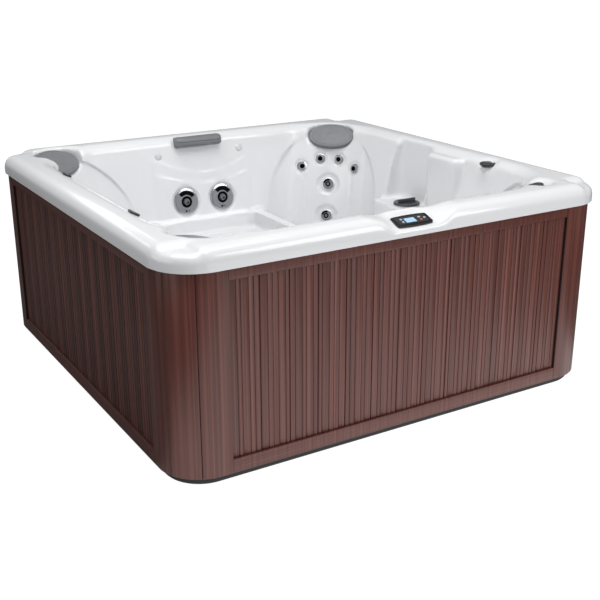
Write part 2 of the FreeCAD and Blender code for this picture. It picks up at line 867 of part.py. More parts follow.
# Supports under the foot well and under the four corner seats
supports = []
quadrants = ((1, 1), (-1, 1), (-1, -1), (1, -1))
seat_levels = ("back_right_level", "back_left_level", "front_left_level", "front_right_level")
for index, ((x_sign, y_sign), level) in enumerate(zip(quadrants, seat_levels)):
    for kind, floor in (("well", "Sizes.well_floor"), ("seat", "Sizes." + level)):
        middle = "Sizes.%s_support" % kind
        supports.append(box(
            "%sSupport%d" % (kind.capitalize(), index),
            "%d * %s - Sizes.support_width / 2" % (x_sign, middle),
            "%d * %s - Sizes.support_width / 2" % (y_sign, middle),
            "Sizes.pan_wall", "Sizes.support_width", "Sizes.support_width",
            floor + " - Sizes.shell_wall - Sizes.pan_wall"))
node("shell_supports", grouped("ShellSupports", supports))

# Cabinet: stile-and-rail panels, grooved inserts and round corner posts
ring_height = size("cabinet_top") - size("cabinet_bottom")
ring = prism(size("cabinet_half"), size("cabinet_corner"), size("cabinet_bottom"), ring_height).cut(
    prism(size("cabinet_half") - size("cabinet_wall"), size("cabinet_corner") - size("cabinet_wall"),
          size("cabinet_bottom"), ring_height))
cabinet_ring = formed("CabinetRing", ring)
panel_reach = "(Sizes.post_line - Sizes.seam / 2)"
panel_space = box("PanelSpace", "-" + panel_reach, "0", "0", panel_reach + " * 2", "Sizes.rim_half",
                  "Sizes.overall_height")
whole_panel = doc.addObject("Part::Common", "WholePanel")
whole_panel.Base = cabinet_ring
whole_panel.Tool = panel_space
insert_depth = "(Sizes.insert_recess + Sizes.slat_thickness)"
insert_space = box(
    "InsertSpace", "-Sizes.insert_half", "Sizes.cabinet_half - " + insert_depth, "Sizes.insert_bottom",
    "Sizes.insert_half * 2", insert_depth + " + Sizes.overrun", "Sizes.insert_top - Sizes.insert_bottom")
panel = less("Panel", whole_panel, [insert_space])
corner_line = "(Sizes.post_line + Sizes.seam / 2)"
corner_space = box("CornerSpace", corner_line, corner_line, "0", "Sizes.rim_half", "Sizes.rim_half",
                   "Sizes.overall_height")
post = doc.addObject("Part::Common", "Post")
post.Base = cabinet_ring
post.Tool = corner_space


def slat_sheet():
    """The grooved insert of one side: a board pattern cut as one comb outline."""
    face = size("cabinet_half") - size("insert_recess")
    half = size("insert_half") - fit
    board = half * 2 / BOARD_COUNT
    points = [(-half, face - size("slat_thickness") + fit), (-half, face)]
    for index in range(BOARD_COUNT):
        start = -half + index * board
        shift = index * 2 % len(SLAT_SHARES)
        shares = SLAT_SHARES[shift:] + SLAT_SHARES[:shift]
        place = start
        for share in shares[:-1]:
            place = place + share * board
            groove = size("groove_width") / 2
            depth = size("groove_depth")
            points.extend(((place - groove, face), (place - groove, face - depth)))
            points.extend(((place + groove, face - depth), (place + groove, face)))
        if index + 1 < BOARD_COUNT:
            seam = start + board
            groove = size("joint_width") / 2
            depth = size("joint_depth")
            points.extend(((seam - groove, face), (seam - groove, face - depth)))
            points.extend(((seam + groove, face - depth), (seam + groove, face)))
    points.extend(((half, face), (half, face - size("slat_thickness") + fit)))
    outline = [Vector(x, y, size("insert_bottom") + fit) for x, y in points]
    height = size("insert_top") - size("insert_bottom") - 2 * fit
    return Part.Face(Part.makePolygon(outline + outline[:1])).extrude(UP * height)


slats = formed("Slats", slat_sheet())
side_names = ("back", "left", "front", "right")
corner_names = ("back_right", "back_left", "front_left", "front_right")
for quarter in range(4):
    side, corner = side_names[quarter], corner_names[quarter]
    node(side + "_panel", turned_copy(side.capitalize() + "Panel", panel, quarter))
    node(side + "_slats", turned_copy(side.capitalize() + "Slats", slats, quarter))
    node(corner + "_post", turned_copy("Post%d" % quarter, post, quarter))

# Pillows: crowned cushions with a rim channel and sewn rings, lying in their seats


def oval_pillow(half_length, half_height):
    """A crowned oval cushion: rings of the crown, stretched to the oval."""
    thickness = size("pillow_thickness") - fit
    points = [Vector(0, 0, fit)]
    for radius_share, height_share in zip(PILLOW_RADIUS_SHARES, PILLOW_HEIGHT_SHARES):
        points.append(Vector(radius_share * half_length, 0, fit + height_share * thickness))
    points.append(Vector(0, 0, fit + thickness))
    profile = Part.Face(Part.makePolygon(points + points[:1]))
    crown = profile.revolve(Vector(), UP, 360)
    stretch = Matrix()
    stretch.scale(1, half_height / half_length, 1)
    return crown.transformGeometry(stretch)


for name, place in pillow_places.items():
    node(name, formed("".join(word.capitalize() for word in name.split("_")),
                      oval_pillow(*pillow_sizes[name]), place))


def bar_pillow():
    """The straight pillow of the back seat: a ribbed bar that thins towards its ends."""
    depth = size("bar_pillow_depth")
    height = size("bar_pillow_height")
    back = wall_at(size("bar_pillow_top")) - fit
    low = size("bar_pillow_top") - height
    left = size("bar_pillow_left")
    right = size("bar_pillow_right")
    end = size("bar_pillow_end")
    sections = []
    for x, share in ((left, BAR_END_SHARE), (left + end, 1), (right - end, 1), (right, BAR_END_SHARE)):
        points = []
        for depth_share, height_share in BAR_SHARES:
            shrunk = (height_share - BAR_MIDDLE_SHARE) * share + BAR_MIDDLE_SHARE
            points.append(Vector(x, back - depth * depth_share * share, low + height * shrunk))
        sections.append(Part.makePolygon(points + points[:1]))
    return Part.makeLoft(sections, True, True)


node("back_middle_pillow", formed("BackMiddlePillow", bar_pillow()))

# Jets. In a jet's own frame the floor of its dish is at zero and the water is above
flange = "Sizes.flange_thickness"


def ring_cut(name, outer, inner, height, low):
    """A part of a ring, for a crescent port at the top of a face."""
    sector = rod(name, outer, height, Placement(Vector(), Rotation(UP, 90 - PORT_SWEEP_DEGREES / 2)))
    sector.Angle = PORT_SWEEP_DEGREES
    core = rod(name + "_core", inner, height)
    for cylinder in (sector, core):
        bind(cylinder, **{".Placement.Base.z": low})
    return less(name + "_sector", sector, [core])


def raised(thing, low):
    """Puts an upright object at a height given as an expression."""
    thing.setExpression(".Placement.Base.z", low)
    return thing


def jet_body(kind, index, place):
    """Barrel, flange and nut of one jet, bored for its turning face."""
    name = "%sJetBody%d" % (kind.capitalize(), index)
    own = "Sizes." + kind + "_"
    barrel = raised(rod(name + "_barrel", own + "barrel_radius", own + "barrel_length"),
                    "-" + own + "barrel_length")
    rim = rod(name + "_rim", own + "flange_radius", flange)
    nut = raised(rod(name + "_nut", own + "barrel_radius + Sizes.nut_overlap", "Sizes.nut_thickness"),
                 "-Sizes.shell_wall - Sizes.nut_thickness")
    bore = raised(rod(name + "_bore", own + "bore_radius", own + "barrel_length"),
                  "-" + own + "barrel_length / 2")
    body = less(name, joined(name + "_whole", [barrel, rim, nut]), [bore])
    body.Placement = place
    return body


def jet_face(kind, index, place, with_nozzle):
    """The turning face of one jet, with a crescent port or a bore for its nozzle."""
    name = "%sJetFace%d" % (kind.capitalize(), index)
    own = "Sizes." + kind + "_"
    face_radius = own + "face_radius"
    low = flange + " + Sizes.fit_gap"
    disc = raised(rod(name + "_disc", face_radius, "Sizes.face_thickness"), low)
    stem = raised(rod(name + "_stem", own + "bore_radius - Sizes.running_gap",
                      own + "barrel_length / 3 + " + flange + " + Sizes.fit_gap * 2"),
                  "-" + own + "barrel_length / 3")
    high = "(" + low + " + Sizes.face_thickness)"
    nozzle_radius = face_radius + " * Sizes.nozzle_share"
    bore_depth = "Sizes.face_thickness * 2"
    nozzle_hole = raised(
        rod(name + "_hole", nozzle_radius + " + Sizes.running_gap", bore_depth + " + Sizes.overrun"),
        high + " - " + bore_depth)
    tools = [nozzle_hole]
    if kind != "small":
        tools.append(ring_cut(
            name + "_port", face_radius + " * Sizes.port_outer_share",
            face_radius + " * Sizes.port_inner_share", "Sizes.face_thickness",
            high + " - Sizes.face_thickness * Sizes.port_depth_share"))
        for side in (-1, 1):
            dot = rod("%s_dot%d" % (name, side + 1), face_radius + " * Sizes.dot_radius_share",
                      "Sizes.face_thickness")
            dot.setExpression(".Placement.Base.x", "%d * %s * Sizes.dot_spread_share" % (side, face_radius))
            dot.setExpression(".Placement.Base.y", "-%s * Sizes.dot_drop_share" % face_radius)
            tools.append(raised(dot, high + " - Sizes.face_thickness * Sizes.dot_depth_share"))
    face = less(name, joined(name + "_whole", [disc, stem]), tools)
    if with_nozzle:
        face.Placement = place
        return face
    core = raised(rod(name + "_core", nozzle_radius + " * Sizes.fixed_core_share", bore_depth),
                  high + " - " + bore_depth)
    fused = joined(name + "_assembly", [face, core])
    fused.Placement = place
    return fused


def jet_nozzle(kind, index, place):
    """The spinning nozzle in the middle of a large jet's face."""
    name = "%sJetNozzle%d" % (kind.capitalize(), index)
    low = "(" + flange + " + Sizes.fit_gap * 2 - Sizes.face_thickness)"
    radius = "Sizes.%s_face_radius * Sizes.nozzle_share" % kind
    length = "Sizes.face_thickness * Sizes.nozzle_length_share"
    cone = raised(rod(name + "_barrel", radius, length), low)
    mouth = raised(rod(name + "_mouth", radius + " * Sizes.mouth_share", length),
                   low + " + Sizes.face_thickness")
    mouth.setExpression(".Placement.Base.y", "-" + radius + " * Sizes.mouth_offset_share")
    nozzle = less(name, cone, [mouth])
    nozzle.Placement = place
    return nozzle


for kind, places in (("large", large_places), ("medium", medium_places), ("small", small_places)):
    bodies = [jet_body(kind, index, place) for index, place in enumerate(places)]
    node(kind + "_jet_bodies", grouped(kind.capitalize() + "JetBodies", bodies))
for index, side in enumerate(("left", "right")):
    node("large_jet_face_" + side, jet_face("large", index, large_places[index], True))
    node("large_jet_nozzle_" + side, jet_nozzle("large", index, large_places[index]))
medium_names = ("back_right_upper", "back_right_lower", "front_left_upper", "front_left_lower")
for index, name in enumerate(medium_names):
    node(name + "_jet_face", jet_face("medium", index, medium_places[index], False))
for index, place in enumerate(small_places):
    node("small_jet_face_%d" % (index + 1), jet_face("small", index, place, False))

# Small fittings


def fitting(name, place, radius, thickness, stem_radius, stem_length, lift):
    """A round cover with a stem through the shell."""
    cover = raised(rod(name + "_cover", radius, thickness), lift)
    stem = raised(rod(name + "_stem", stem_radius, stem_length + " + " + lift + " * 2"), "-" + stem_length)
    whole = joined(name, [cover, stem])
    whole.Placement = place
    return whole


node("wall_caps", grouped("WallCaps", [
    fitting("WallCap%d" % index, place, "Sizes.cap_radius", "Sizes.cap_thickness",
            "Sizes.cap_stem_radius", "Sizes.cap_stem_length", "Sizes.fit_gap")
    for index, place in enumerate(cap_places)]))
node("suction_covers", grouped("SuctionCovers", [
    fitting("SuctionCover%d" % index, place, "Sizes.suction_radius", "Sizes.suction_thickness",
            "Sizes.suction_stub_radius", "Sizes.suction_stub_length", "Sizes.fit_gap")
    for index, place in enumerate(suction_places)]))
node("light_lens", fitting("LightLens", light_place, "Sizes.light_radius", "Sizes.light_thickness",
                           "Sizes.light_stub_radius", "Sizes.light_stub_length", "Sizes.fit_gap"))
node("diverter_knob", fitting("DiverterKnob", knob_place, "Sizes.knob_radius", "Sizes.knob_height",
                              "Sizes.knob_stem_radius - Sizes.running_gap", "Sizes.knob_stem_length",
                              "Sizes.fit_gap"))


def lever_shape():
    """A teardrop lever: a round head that runs out in a narrow tip."""
    head = size("lever_radius")
    tip = size("lever_tip_radius")
    reach = size("lever_reach")
    lean_angle = math.asin((head - tip) / reach)
    side = Vector(math.cos(lean_angle), -math.sin(lean_angle), 0)
    mirror = Vector(-side.x, side.y, 0)
    centre = Vector(0, -reach, 0)
    outline = Part.Wire([
        Part.Arc(side * head, Vector(0, head, 0), mirror * head).toShape(),
        Part.makeLine(mirror * head, centre + mirror * tip),
        Part.Arc(centre + mirror * tip, Vector(0, -reach - tip, 0), centre + side * tip).toShape(),
        Part.makeLine(centre + side * tip, side * head),
    ])
    body = Part.Face(outline).extrude(UP * size("lever_height"))
    upper = body.BoundBox.ZMax
    ring_edges = [edge for edge in body.Edges if edge.BoundBox.ZMin > upper - size("edge_margin")]
    body = body.makeFillet(size("lever_height") / 3, ring_edges)
    body.translate(UP * fit)
    stem = Part.makeCylinder(
        size("valve_stem_radius") - size("running_gap"), size("valve_length") / 2 + fit * 2,
        Vector(0, 0, -size("valve_length") / 2))
    return body.fuse(stem).removeSplitter()


lever = lever_shape()
valves = []
for name, place in lever_places.items():
    node(name, formed("".join(word.capitalize() for word in name.split("_")), lever, place))
    valve_body = raised(rod(name + "_valve", "Sizes.valve_radius", "Sizes.valve_length"),
                        "-Sizes.valve_length")
    valve_bore = raised(rod(name + "_bore", "Sizes.valve_stem_radius", "Sizes.valve_length"),
                        "-Sizes.valve_length / 2 - Sizes.fit_gap")
    valve = less(name + "_valve_body", valve_body, [valve_bore])
    valve.Placement = place
    valves.append(valve)
diverter_body = raised(
    rod("DiverterBody", "Sizes.lobe_radius - Sizes.shell_wall * 2", "Sizes.knob_stem_length"),
    "-Sizes.shell_wall - Sizes.knob_stem_length")
diverter_bore = raised(rod("DiverterBore", "Sizes.knob_stem_radius", "Sizes.knob_stem_length"),
                       "-Sizes.knob_stem_length - Sizes.fit_gap")
diverter = less("DiverterValve", diverter_body, [diverter_bore])
diverter.Placement = knob_place
valves.append(diverter)
node("valve_bodies", grouped("ValveBodies", valves))

# Control panel


def bezel_outline():
    """The bezel's outline: long edges bowed outward."""
    half = size("panel_length") / 2
    side = size("panel_width") / 2
    corner = side - size("panel_bow")
    return Part.Wire([
        Part.Arc(Vector(half, corner, 0), Vector(0, side, 0), Vector(-half, corner, 0)).toShape(),
        Part.makeLine(Vector(-half, corner, 0), Vector(-half, -corner, 0)),
        Part.Arc(Vector(-half, -corner, 0), Vector(0, -side, 0), Vector(half, -corner, 0)).toShape(),
        Part.makeLine(Vector(half, -corner, 0), Vector(half, corner, 0)),
    ])


plate = Part.Face(bezel_outline()).extrude(UP * size("panel_rise"))
uprights = [edge for edge in plate.Edges if edge.BoundBox.ZLength > size("panel_rise") / 2]
plate = plate.makeFillet(size("panel_rise"), uprights)
bezel_plate = raised(formed("BezelPlate", plate), "Sizes.fit_gap")
bezel_body = box("BezelBody", "-Sizes.panel_body_length / 2", "-Sizes.panel_body_width / 2",
                 "-Sizes.panel_body_depth", "Sizes.panel_body_length", "Sizes.panel_body_width",
                 "Sizes.panel_body_depth + Sizes.panel_rise / 2")
bezel_face = "(Sizes.fit_gap + Sizes.panel_rise)"
window = box("DisplayWindow", "Sizes.display_x - Sizes.display_length / 2", "-Sizes.display_width / 2",
             bezel_face + " - Sizes.display_thickness", "Sizes.display_length", "Sizes.display_width",
             "Sizes.display_thickness + Sizes.overrun")
button_spots = (
    ("button_left_x", 1), ("button_left_x", -1),
    ("button_right_x", 1), ("button_right_x", -1), ("button_end_x", 0))
button_holes = []
for index, (column, row) in enumerate(button_spots):
    hole = rod("ButtonHole%d" % index, "Sizes.button_radius", "Sizes.button_bore + Sizes.overrun")
    hole.setExpression(".Placement.Base.x", "Sizes." + column)
    hole.setExpression(".Placement.Base.y", "%d * Sizes.button_y" % row)
    button_holes.append(raised(hole, bezel_face + " - Sizes.button_bore"))
bezel = less("Bezel", joined("BezelWhole", [bezel_plate, bezel_body]), [window] + button_holes)
bezel.Placement = panel_place
node("panel_bezel", bezel)
screen = box("Screen", "Sizes.display_x - Sizes.display_length / 2 + Sizes.fit_gap",
             "-Sizes.display_width / 2 + Sizes.fit_gap", bezel_face + " - Sizes.display_thickness",
             "Sizes.display_length - 2 * Sizes.fit_gap", "Sizes.display_width - 2 * Sizes.fit_gap",
             "Sizes.display_thickness - Sizes.fit_gap")
screen_group = grouped("PanelDisplay", [screen])
screen_group.Placement = panel_place
node("panel_display", screen_group)
for index, (column, row) in enumerate(button_spots):
    button = rod("Button%d" % index, "Sizes.button_radius - Sizes.running_gap", "Sizes.button_height")
    button.setExpression(".Placement.Base.x", "Sizes." + column)
    button.setExpression(".Placement.Base.y", "%d * Sizes.button_y" % row)
    raised(button, bezel_face + " + Sizes.button_proud - Sizes.button_height")
    button_group = grouped("PanelButton%d" % (index + 1), [button])
    button_group.Placement = panel_place
    node("panel_button_%d" % (index + 1), button_group)

# Filter: a canister hung in the shelf, its cartridge and a finned twist lid
tube = raised(rod("CanisterTube", "Sizes.canister_radius", "Sizes.canister_depth"), "-Sizes.canister_depth")
brim = raised(rod("CanisterBrim", "Sizes.lid_radius", "Sizes.canister_flange"), "Sizes.fit_gap")
tube_top = rod("CanisterNeck", "Sizes.canister_radius", "Sizes.canister_flange")
tube_bore = raised(
    rod("CanisterBore", "Sizes.canister_radius - Sizes.canister_wall",
        "Sizes.canister_depth + Sizes.overrun"),
    "Sizes.canister_wall - Sizes.canister_depth")
canister = less("Canister", joined("CanisterWhole", [tube, brim, tube_top]), [tube_bore])
canister.Placement = filter_place
node("filter_canister", canister)
lid_low = "(Sizes.canister_flange + Sizes.fit_gap * 2)"
lid_disc = raised(rod("LidDisc", "Sizes.lid_radius", "Sizes.lid_thickness"), lid_low)
lid_plug = raised(
    rod("LidPlug", "Sizes.canister_radius - Sizes.canister_wall - Sizes.running_gap",
        "Sizes.lid_plug + Sizes.lid_thickness / 2"),
    lid_low + " - Sizes.lid_plug")
lid_fin = box("LidFin", "-Sizes.fin_length / 2", "-Sizes.fin_thickness / 2",
              lid_low + " + Sizes.lid_thickness / 2", "Sizes.fin_length", "Sizes.fin_thickness",
              "Sizes.fin_height + Sizes.lid_thickness / 2")
lid = joined("FilterLid", [lid_disc, lid_plug, lid_fin])
lid.Placement = filter_place
node("filter_lid", lid)
cartridge_low = "(Sizes.canister_wall - Sizes.canister_depth)"
pleats = raised(rod("CartridgePleats", "Sizes.cartridge_radius", "Sizes.cartridge_height"), cartridge_low)
core = raised(rod("CartridgeCore", "Sizes.cartridge_core", "Sizes.cartridge_height"), cartridge_low)
cartridge = less("Cartridge", pleats, [core])
cartridge.Placement = filter_place
node("filter_cartridge", cartridge)

# Pump, control box, heater and pipes
along_back = Rotation(RIGHT, -90)
along_right = Rotation(BACK, 90)


def lying(name, radius, length, x, y, z, turn):
    """A lying cylinder from the middle of its first end, given as expressions."""
    cylinder = rod(name, radius, length, Placement(Vector(), turn))
    for path, text in ((".Placement.Base.x", x), (".Placement.Base.y", y), (".Placement.Base.z", z)):
        cylinder.setExpression(path, text)
    return cylinder


wet_back = "(Sizes.pump_wet_face - Sizes.pump_wet_length)"
wet_end = lying("WetEnd", "Sizes.pump_wet_radius", "Sizes.pump_wet_length",
                "Sizes.pump_x", wet_back, "Sizes.pump_axis", along_back)
motor = lying("Motor", "Sizes.pump_motor_radius", "Sizes.pump_motor_length", "Sizes.pump_x",
              wet_back + " - Sizes.pump_motor_length", "Sizes.pump_axis", along_back)
suction = lying("SuctionPort", "Sizes.pump_port_radius", "Sizes.pump_port_length", "Sizes.pump_x",
                "Sizes.pump_wet_face", "Sizes.pump_axis", along_back)
outlet = lying("OutletPort", "Sizes.pump_port_radius", "Sizes.pump_wet_radius + Sizes.pump_port_length",
               "Sizes.pump_x", "Sizes.pump_wet_face - Sizes.pump_wet_length / 2", "Sizes.pump_axis",
               Rotation())
foot = box("PumpFoot", "Sizes.pump_x - Sizes.pump_foot_width / 2",
           wet_back + " - Sizes.pump_motor_length", "Sizes.pan_wall", "Sizes.pump_foot_width",
           "Sizes.pump_motor_length + Sizes.pump_wet_length", "Sizes.pump_axis - Sizes.pan_wall")
node("jet_pump", joined("JetPump", [wet_end, motor, suction, outlet, foot]))

node("control_box", box(
    "ControlBox", "Sizes.box_x - Sizes.box_length / 2", "Sizes.box_y - Sizes.box_depth / 2",
    "Sizes.pan_wall", "Sizes.box_length", "Sizes.box_depth", "Sizes.box_height"))
box_top = "(Sizes.pan_wall + Sizes.box_height)"
heater_axis = box_top + " + Sizes.heater_saddle + Sizes.heater_radius"
heater_parts = [lying("HeaterTube", "Sizes.heater_radius", "Sizes.heater_length",
                      "Sizes.box_x - Sizes.heater_length / 2", "Sizes.box_y", heater_axis, along_right)]
for index, side in enumerate((-1, 1)):
    heater_parts.append(box(
        "Saddle%d" % index,
        "Sizes.box_x + %d * Sizes.heater_length / 4 - Sizes.saddle_width / 2" % side,
        "Sizes.box_y - Sizes.heater_radius", box_top, "Sizes.saddle_width", "Sizes.heater_radius * 2",
        "Sizes.heater_saddle + Sizes.heater_radius"))
node("heater", joined("Heater", heater_parts))


def pipe_run(points, radius):
    """A run of pipe with round elbows."""
    pieces = []
    for start, end in zip(points, points[1:]):
        pieces.append(Part.makeCylinder(radius, (end - start).Length, start, end - start))
    pieces.extend([Part.makeSphere(radius, point) for point in points[1:-1]])
    return pieces[0].fuse(pieces[1:]) if len(pieces) > 1 else pieces[0]


def pipe(routes):
    """Hollow pipework along one or more joined routes."""
    outer = [pipe_run(points, size("pipe_radius")) for points in routes]
    inner = [pipe_run(points, size("pipe_radius") - size("pipe_wall")) for points in routes]
    whole = outer[0].fuse(outer[1:]) if len(outer) > 1 else outer[0]
    return whole.cut(inner).removeSplitter()


pump_x = size("pump_x")
pump_z = size("pump_axis")
box_y = size("box_y")
heater_z = size("pan_wall") + size("box_height") + size("heater_saddle") + size("heater_radius")
cover_low = size("well_floor") - size("suction_stub_length")
spread = size("suction_spread")
suction_end = size("pump_wet_face") + size("pump_port_length")
outlet_y = size("pump_wet_face") - size("pump_wet_length") / 2
outlet_z = pump_z + size("pump_wet_radius") + size("pump_port_length")
heater_left = size("box_x") - size("heater_length") / 2
heater_right = size("box_x") + size("heater_length") / 2
side_x = size("pipe_side")
low_z = size("pipe_low")
back_y = size("pipe_back")
jet_rear = large_places[1].multVec(Vector(0, 0, -size("large_barrel_length")))
suction_pipe = pipe([
    [Vector(spread, 0, cover_low), Vector(spread, 0, pump_z), Vector(pump_x, 0, pump_z),
     Vector(pump_x, suction_end, pump_z)],
    [Vector(-spread, 0, cover_low), Vector(-spread, 0, pump_z)],
])
heater_pipe = pipe([[
    Vector(pump_x, outlet_y, outlet_z), Vector(pump_x, outlet_y, heater_z),
    Vector(pump_x, box_y, heater_z), Vector(heater_left, box_y, heater_z)]])
jet_pipe = pipe([[
    Vector(heater_right, box_y, heater_z), Vector(side_x, box_y, heater_z), Vector(side_x, box_y, low_z),
    Vector(side_x, back_y, low_z), Vector(side_x, back_y, jet_rear.z),
    Vector(-jet_rear.x, back_y, jet_rear.z)]])
node("plumbing", formed("Plumbing", Part.makeCompound([suction_pipe, heater_pipe, jet_pipe])))

# Every object is checked before any file is written
doc.recompute()
for thing in doc.Objects:
    if "Invalid" in thing.State or "Error" in thing.State:
        raise RuntimeError("failed object: " + thing.Label)
os.makedirs("parts", exist_ok=True)
for label, thing in nodes.items():
    if thing.Shape.isNull() or not thing.Shape.isValid():
        raise RuntimeError("bad shape: " + label)
for label, thing in nodes.items():
    thing.Shape.exportStep("parts/" + label + ".step")
print(len(nodes), "pieces written")
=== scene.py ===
import json
import math

import bmesh
import bpy
import numpy as np
from mathutils import Matrix, Vector
from mathutils.bvhtree import BVHTree


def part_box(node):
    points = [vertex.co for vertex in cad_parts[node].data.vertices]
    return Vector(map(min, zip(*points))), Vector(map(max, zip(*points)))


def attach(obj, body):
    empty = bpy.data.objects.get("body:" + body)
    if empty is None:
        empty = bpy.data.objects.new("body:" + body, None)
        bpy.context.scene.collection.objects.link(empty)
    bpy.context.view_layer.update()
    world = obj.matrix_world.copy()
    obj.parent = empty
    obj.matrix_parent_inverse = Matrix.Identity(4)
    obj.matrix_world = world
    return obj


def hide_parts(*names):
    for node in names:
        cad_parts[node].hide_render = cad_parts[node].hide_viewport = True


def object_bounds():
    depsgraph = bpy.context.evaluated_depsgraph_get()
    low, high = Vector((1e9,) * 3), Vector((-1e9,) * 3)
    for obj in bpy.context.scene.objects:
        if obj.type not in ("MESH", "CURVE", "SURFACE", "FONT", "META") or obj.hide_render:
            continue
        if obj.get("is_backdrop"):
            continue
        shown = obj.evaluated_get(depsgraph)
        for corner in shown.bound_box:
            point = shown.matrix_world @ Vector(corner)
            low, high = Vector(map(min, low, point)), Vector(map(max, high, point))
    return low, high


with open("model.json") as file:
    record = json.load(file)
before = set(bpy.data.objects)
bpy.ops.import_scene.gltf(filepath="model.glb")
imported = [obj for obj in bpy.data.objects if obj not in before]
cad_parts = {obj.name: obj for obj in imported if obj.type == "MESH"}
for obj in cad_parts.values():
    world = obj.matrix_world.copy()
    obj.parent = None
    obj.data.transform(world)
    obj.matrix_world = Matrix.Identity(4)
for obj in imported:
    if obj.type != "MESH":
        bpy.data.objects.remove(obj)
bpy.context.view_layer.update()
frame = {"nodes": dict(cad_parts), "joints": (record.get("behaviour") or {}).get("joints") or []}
nodes = frame["nodes"]

# Base pan: one vacuum formed tray of black ABS that the whole tub stands in. Its chamfered foot
# shows as a dark strip under the cabinet. The blocks that carry the shell's seats are of the same plastic.
pan_edge = 0.003
pan_texture = (0.0008, 0.0001)
edge_weld = 0.00002
sharp_edge = math.radians(35)


def linear(code):
    """The linear colour of an sRGB hex code."""
    shares = [int(code[place:place + 2], 16) / 255 for place in (1, 3, 5)]
    lit = [share / 12.92 if share <= 0.04045 else ((share + 0.055) / 1.055) ** 2.4 for share in shares]
    return (*lit, 1)


def add(tree, kind, inputs):
    """Adds a shader node with its settings and input values. A node or a socket as a value is linked."""
    made = tree.nodes.new("ShaderNode" + kind)
    for name, value in inputs.items():
        if isinstance(value, bpy.types.Node):
            value = value.outputs[0]
        if isinstance(value, bpy.types.NodeSocket):
            tree.links.new(value, made.inputs[name])
        elif isinstance(name, str) and hasattr(made, name):
            setattr(made, name, value)
        else:
            made.inputs[name].default_value = value
    return made


def material(name):
    """A new material, its empty node tree, and the place of a point in its object's space."""
    made = bpy.data.materials.new(name)
    made.use_nodes = True
    made.node_tree.nodes.clear()
    return made, made.node_tree, add(made.node_tree, "TexCoord", {}).outputs["Object"]


def surface(tree, inputs):
    """Ends a material with its shader."""
    add(tree, "OutputMaterial", {"Surface": add(tree, "BsdfPrincipled", inputs)})


def grained(tree, place, grain, detail, strength, relief):
    """A bump of a grain's size and depth."""
    spark = add(tree, "TexNoise", {"Scale": 1 / grain, "Detail": detail, "Vector": place})
    return add(tree, "Bump", {"Strength": strength, "Distance": relief, "Height": spark})


def clouded(tree, place, base, spacing, low, high):
    """A colour that goes a little darker and brighter from patch to patch."""
    patches = add(tree, "TexNoise", {"Scale": 1 / spacing, "Detail": 3, "Vector": place})
    tone = add(tree, "MapRange", {"To Min": low, "To Max": high, "Value": patches})
    return add(tree, "VectorMath", {"operation": "SCALE", 0: base, "Scale": tone})


def moulded(name, colour, roughness, texture):
    """Moulded plastic: one colour with a faint cloud in it, and its tool's spark texture."""
    made, tree, place = material(name)
    grain, relief = texture
    shade = clouded(tree, place, linear(colour)[:3], grain * 30, 0.88, 1.12)
    surface(tree, {"Roughness": roughness, "IOR": 1.5, "Base Color": shade,
                   "Normal": grained(tree, place, grain, 4, 0.4, relief)})
    return made


def paint(name, finish, edge=0):
    """Gives a CAD node its finish, and rounds its sharp edges as its mould or router leaves them."""
    node = nodes[name]
    node.data.materials.clear()
    node.data.materials.append(finish)
    if not edge:
        return
    for face in node.data.polygons:
        face.use_smooth = True
    join = node.modifiers.new("Weld", "WELD")
    join.merge_threshold = edge_weld
    bevel = node.modifiers.new("Eased edges", "BEVEL")
    bevel.width = edge
    bevel.segments = 2
    bevel.limit_method = "ANGLE"
    bevel.angle_limit = sharp_edge
    bevel.harden_normals = True


pan_plastic = moulded("Black vacuum formed ABS", "#151617", 0.6, pan_texture)
paint("base_pan", pan_plastic, pan_edge)
paint("shell_supports", pan_plastic)

# Frame: sawn softwood sills, studs and beams with pressed steel clips that hold the panels.
# All of it is hidden once the panels are on.
pine_ring = 0.006
pine_fibre = 0.3
clip_texture = (0.0006, 0.00005)
clip_edge = 0.001
# Pale and dark growth rings drawn out along the upright fibres
pine, tree, place = material("Sawn pine")
drawn = add(tree, "Mapping", {"Scale": (1, 1, pine_ring / pine_fibre), "Vector": place})
rings = add(tree, "TexNoise", {"Scale": 1 / pine_ring, "Detail": 5, "Distortion": 0.6, "Vector": drawn})
colours = add(tree, "ValToRGB", {"Fac": rings})
colours.color_ramp.elements[0].color = linear("#a57c4f")
colours.color_ramp.elements[1].color = linear("#d9b88a")
bump = add(tree, "Bump", {"Strength": 0.4, "Distance": pine_ring / 12, "Height": rings})
surface(tree, {"Roughness": 0.75, "Base Color": colours, "Normal": bump})
paint("frame_rails", pine)
paint("frame_studs", pine)
clip_steel = moulded("Coated pressed steel", "#54565a", 0.4, clip_texture)
paint("panel_clips", clip_steel, clip_edge)

# Cabinet: four stile and rail frames round grooved inserts, and four round corner posts, all extruded from
# wood-filled polystyrene with an embossed grain: a stained reddish brown, dull in the pores, with a low sheen
# The left and right sides are painted darker all over as painted shade, as the photograph shows its left one.
insert_half = 0.825
insert_low = 0.094
insert_high = 0.806
joint_line = 0.0015
board_width = 0.1269
pore_spacing = 0.0028
pore_length = 1.6
stripe_width = 0.013
figure_width = 0.04
figure_length = 2.4
grain_relief = 0.0002
shadow_width = 0.006
board_edge = 0.0016
slat_edge = 0.0007
# Share by which a painted sheen swings each board light and dark, on the front and back, and on the sides
painted_sheen_shares = (0.02, 0.1)
# Colour scale of the front and back boards, and of the side boards, which are darker as painted shade
side_shade_shares = (1, 0.7)
ramp_shares = (0.32, 0.5, 0.68)
ramp_colours = ("#381711", "#5a2e26", "#7c473c")


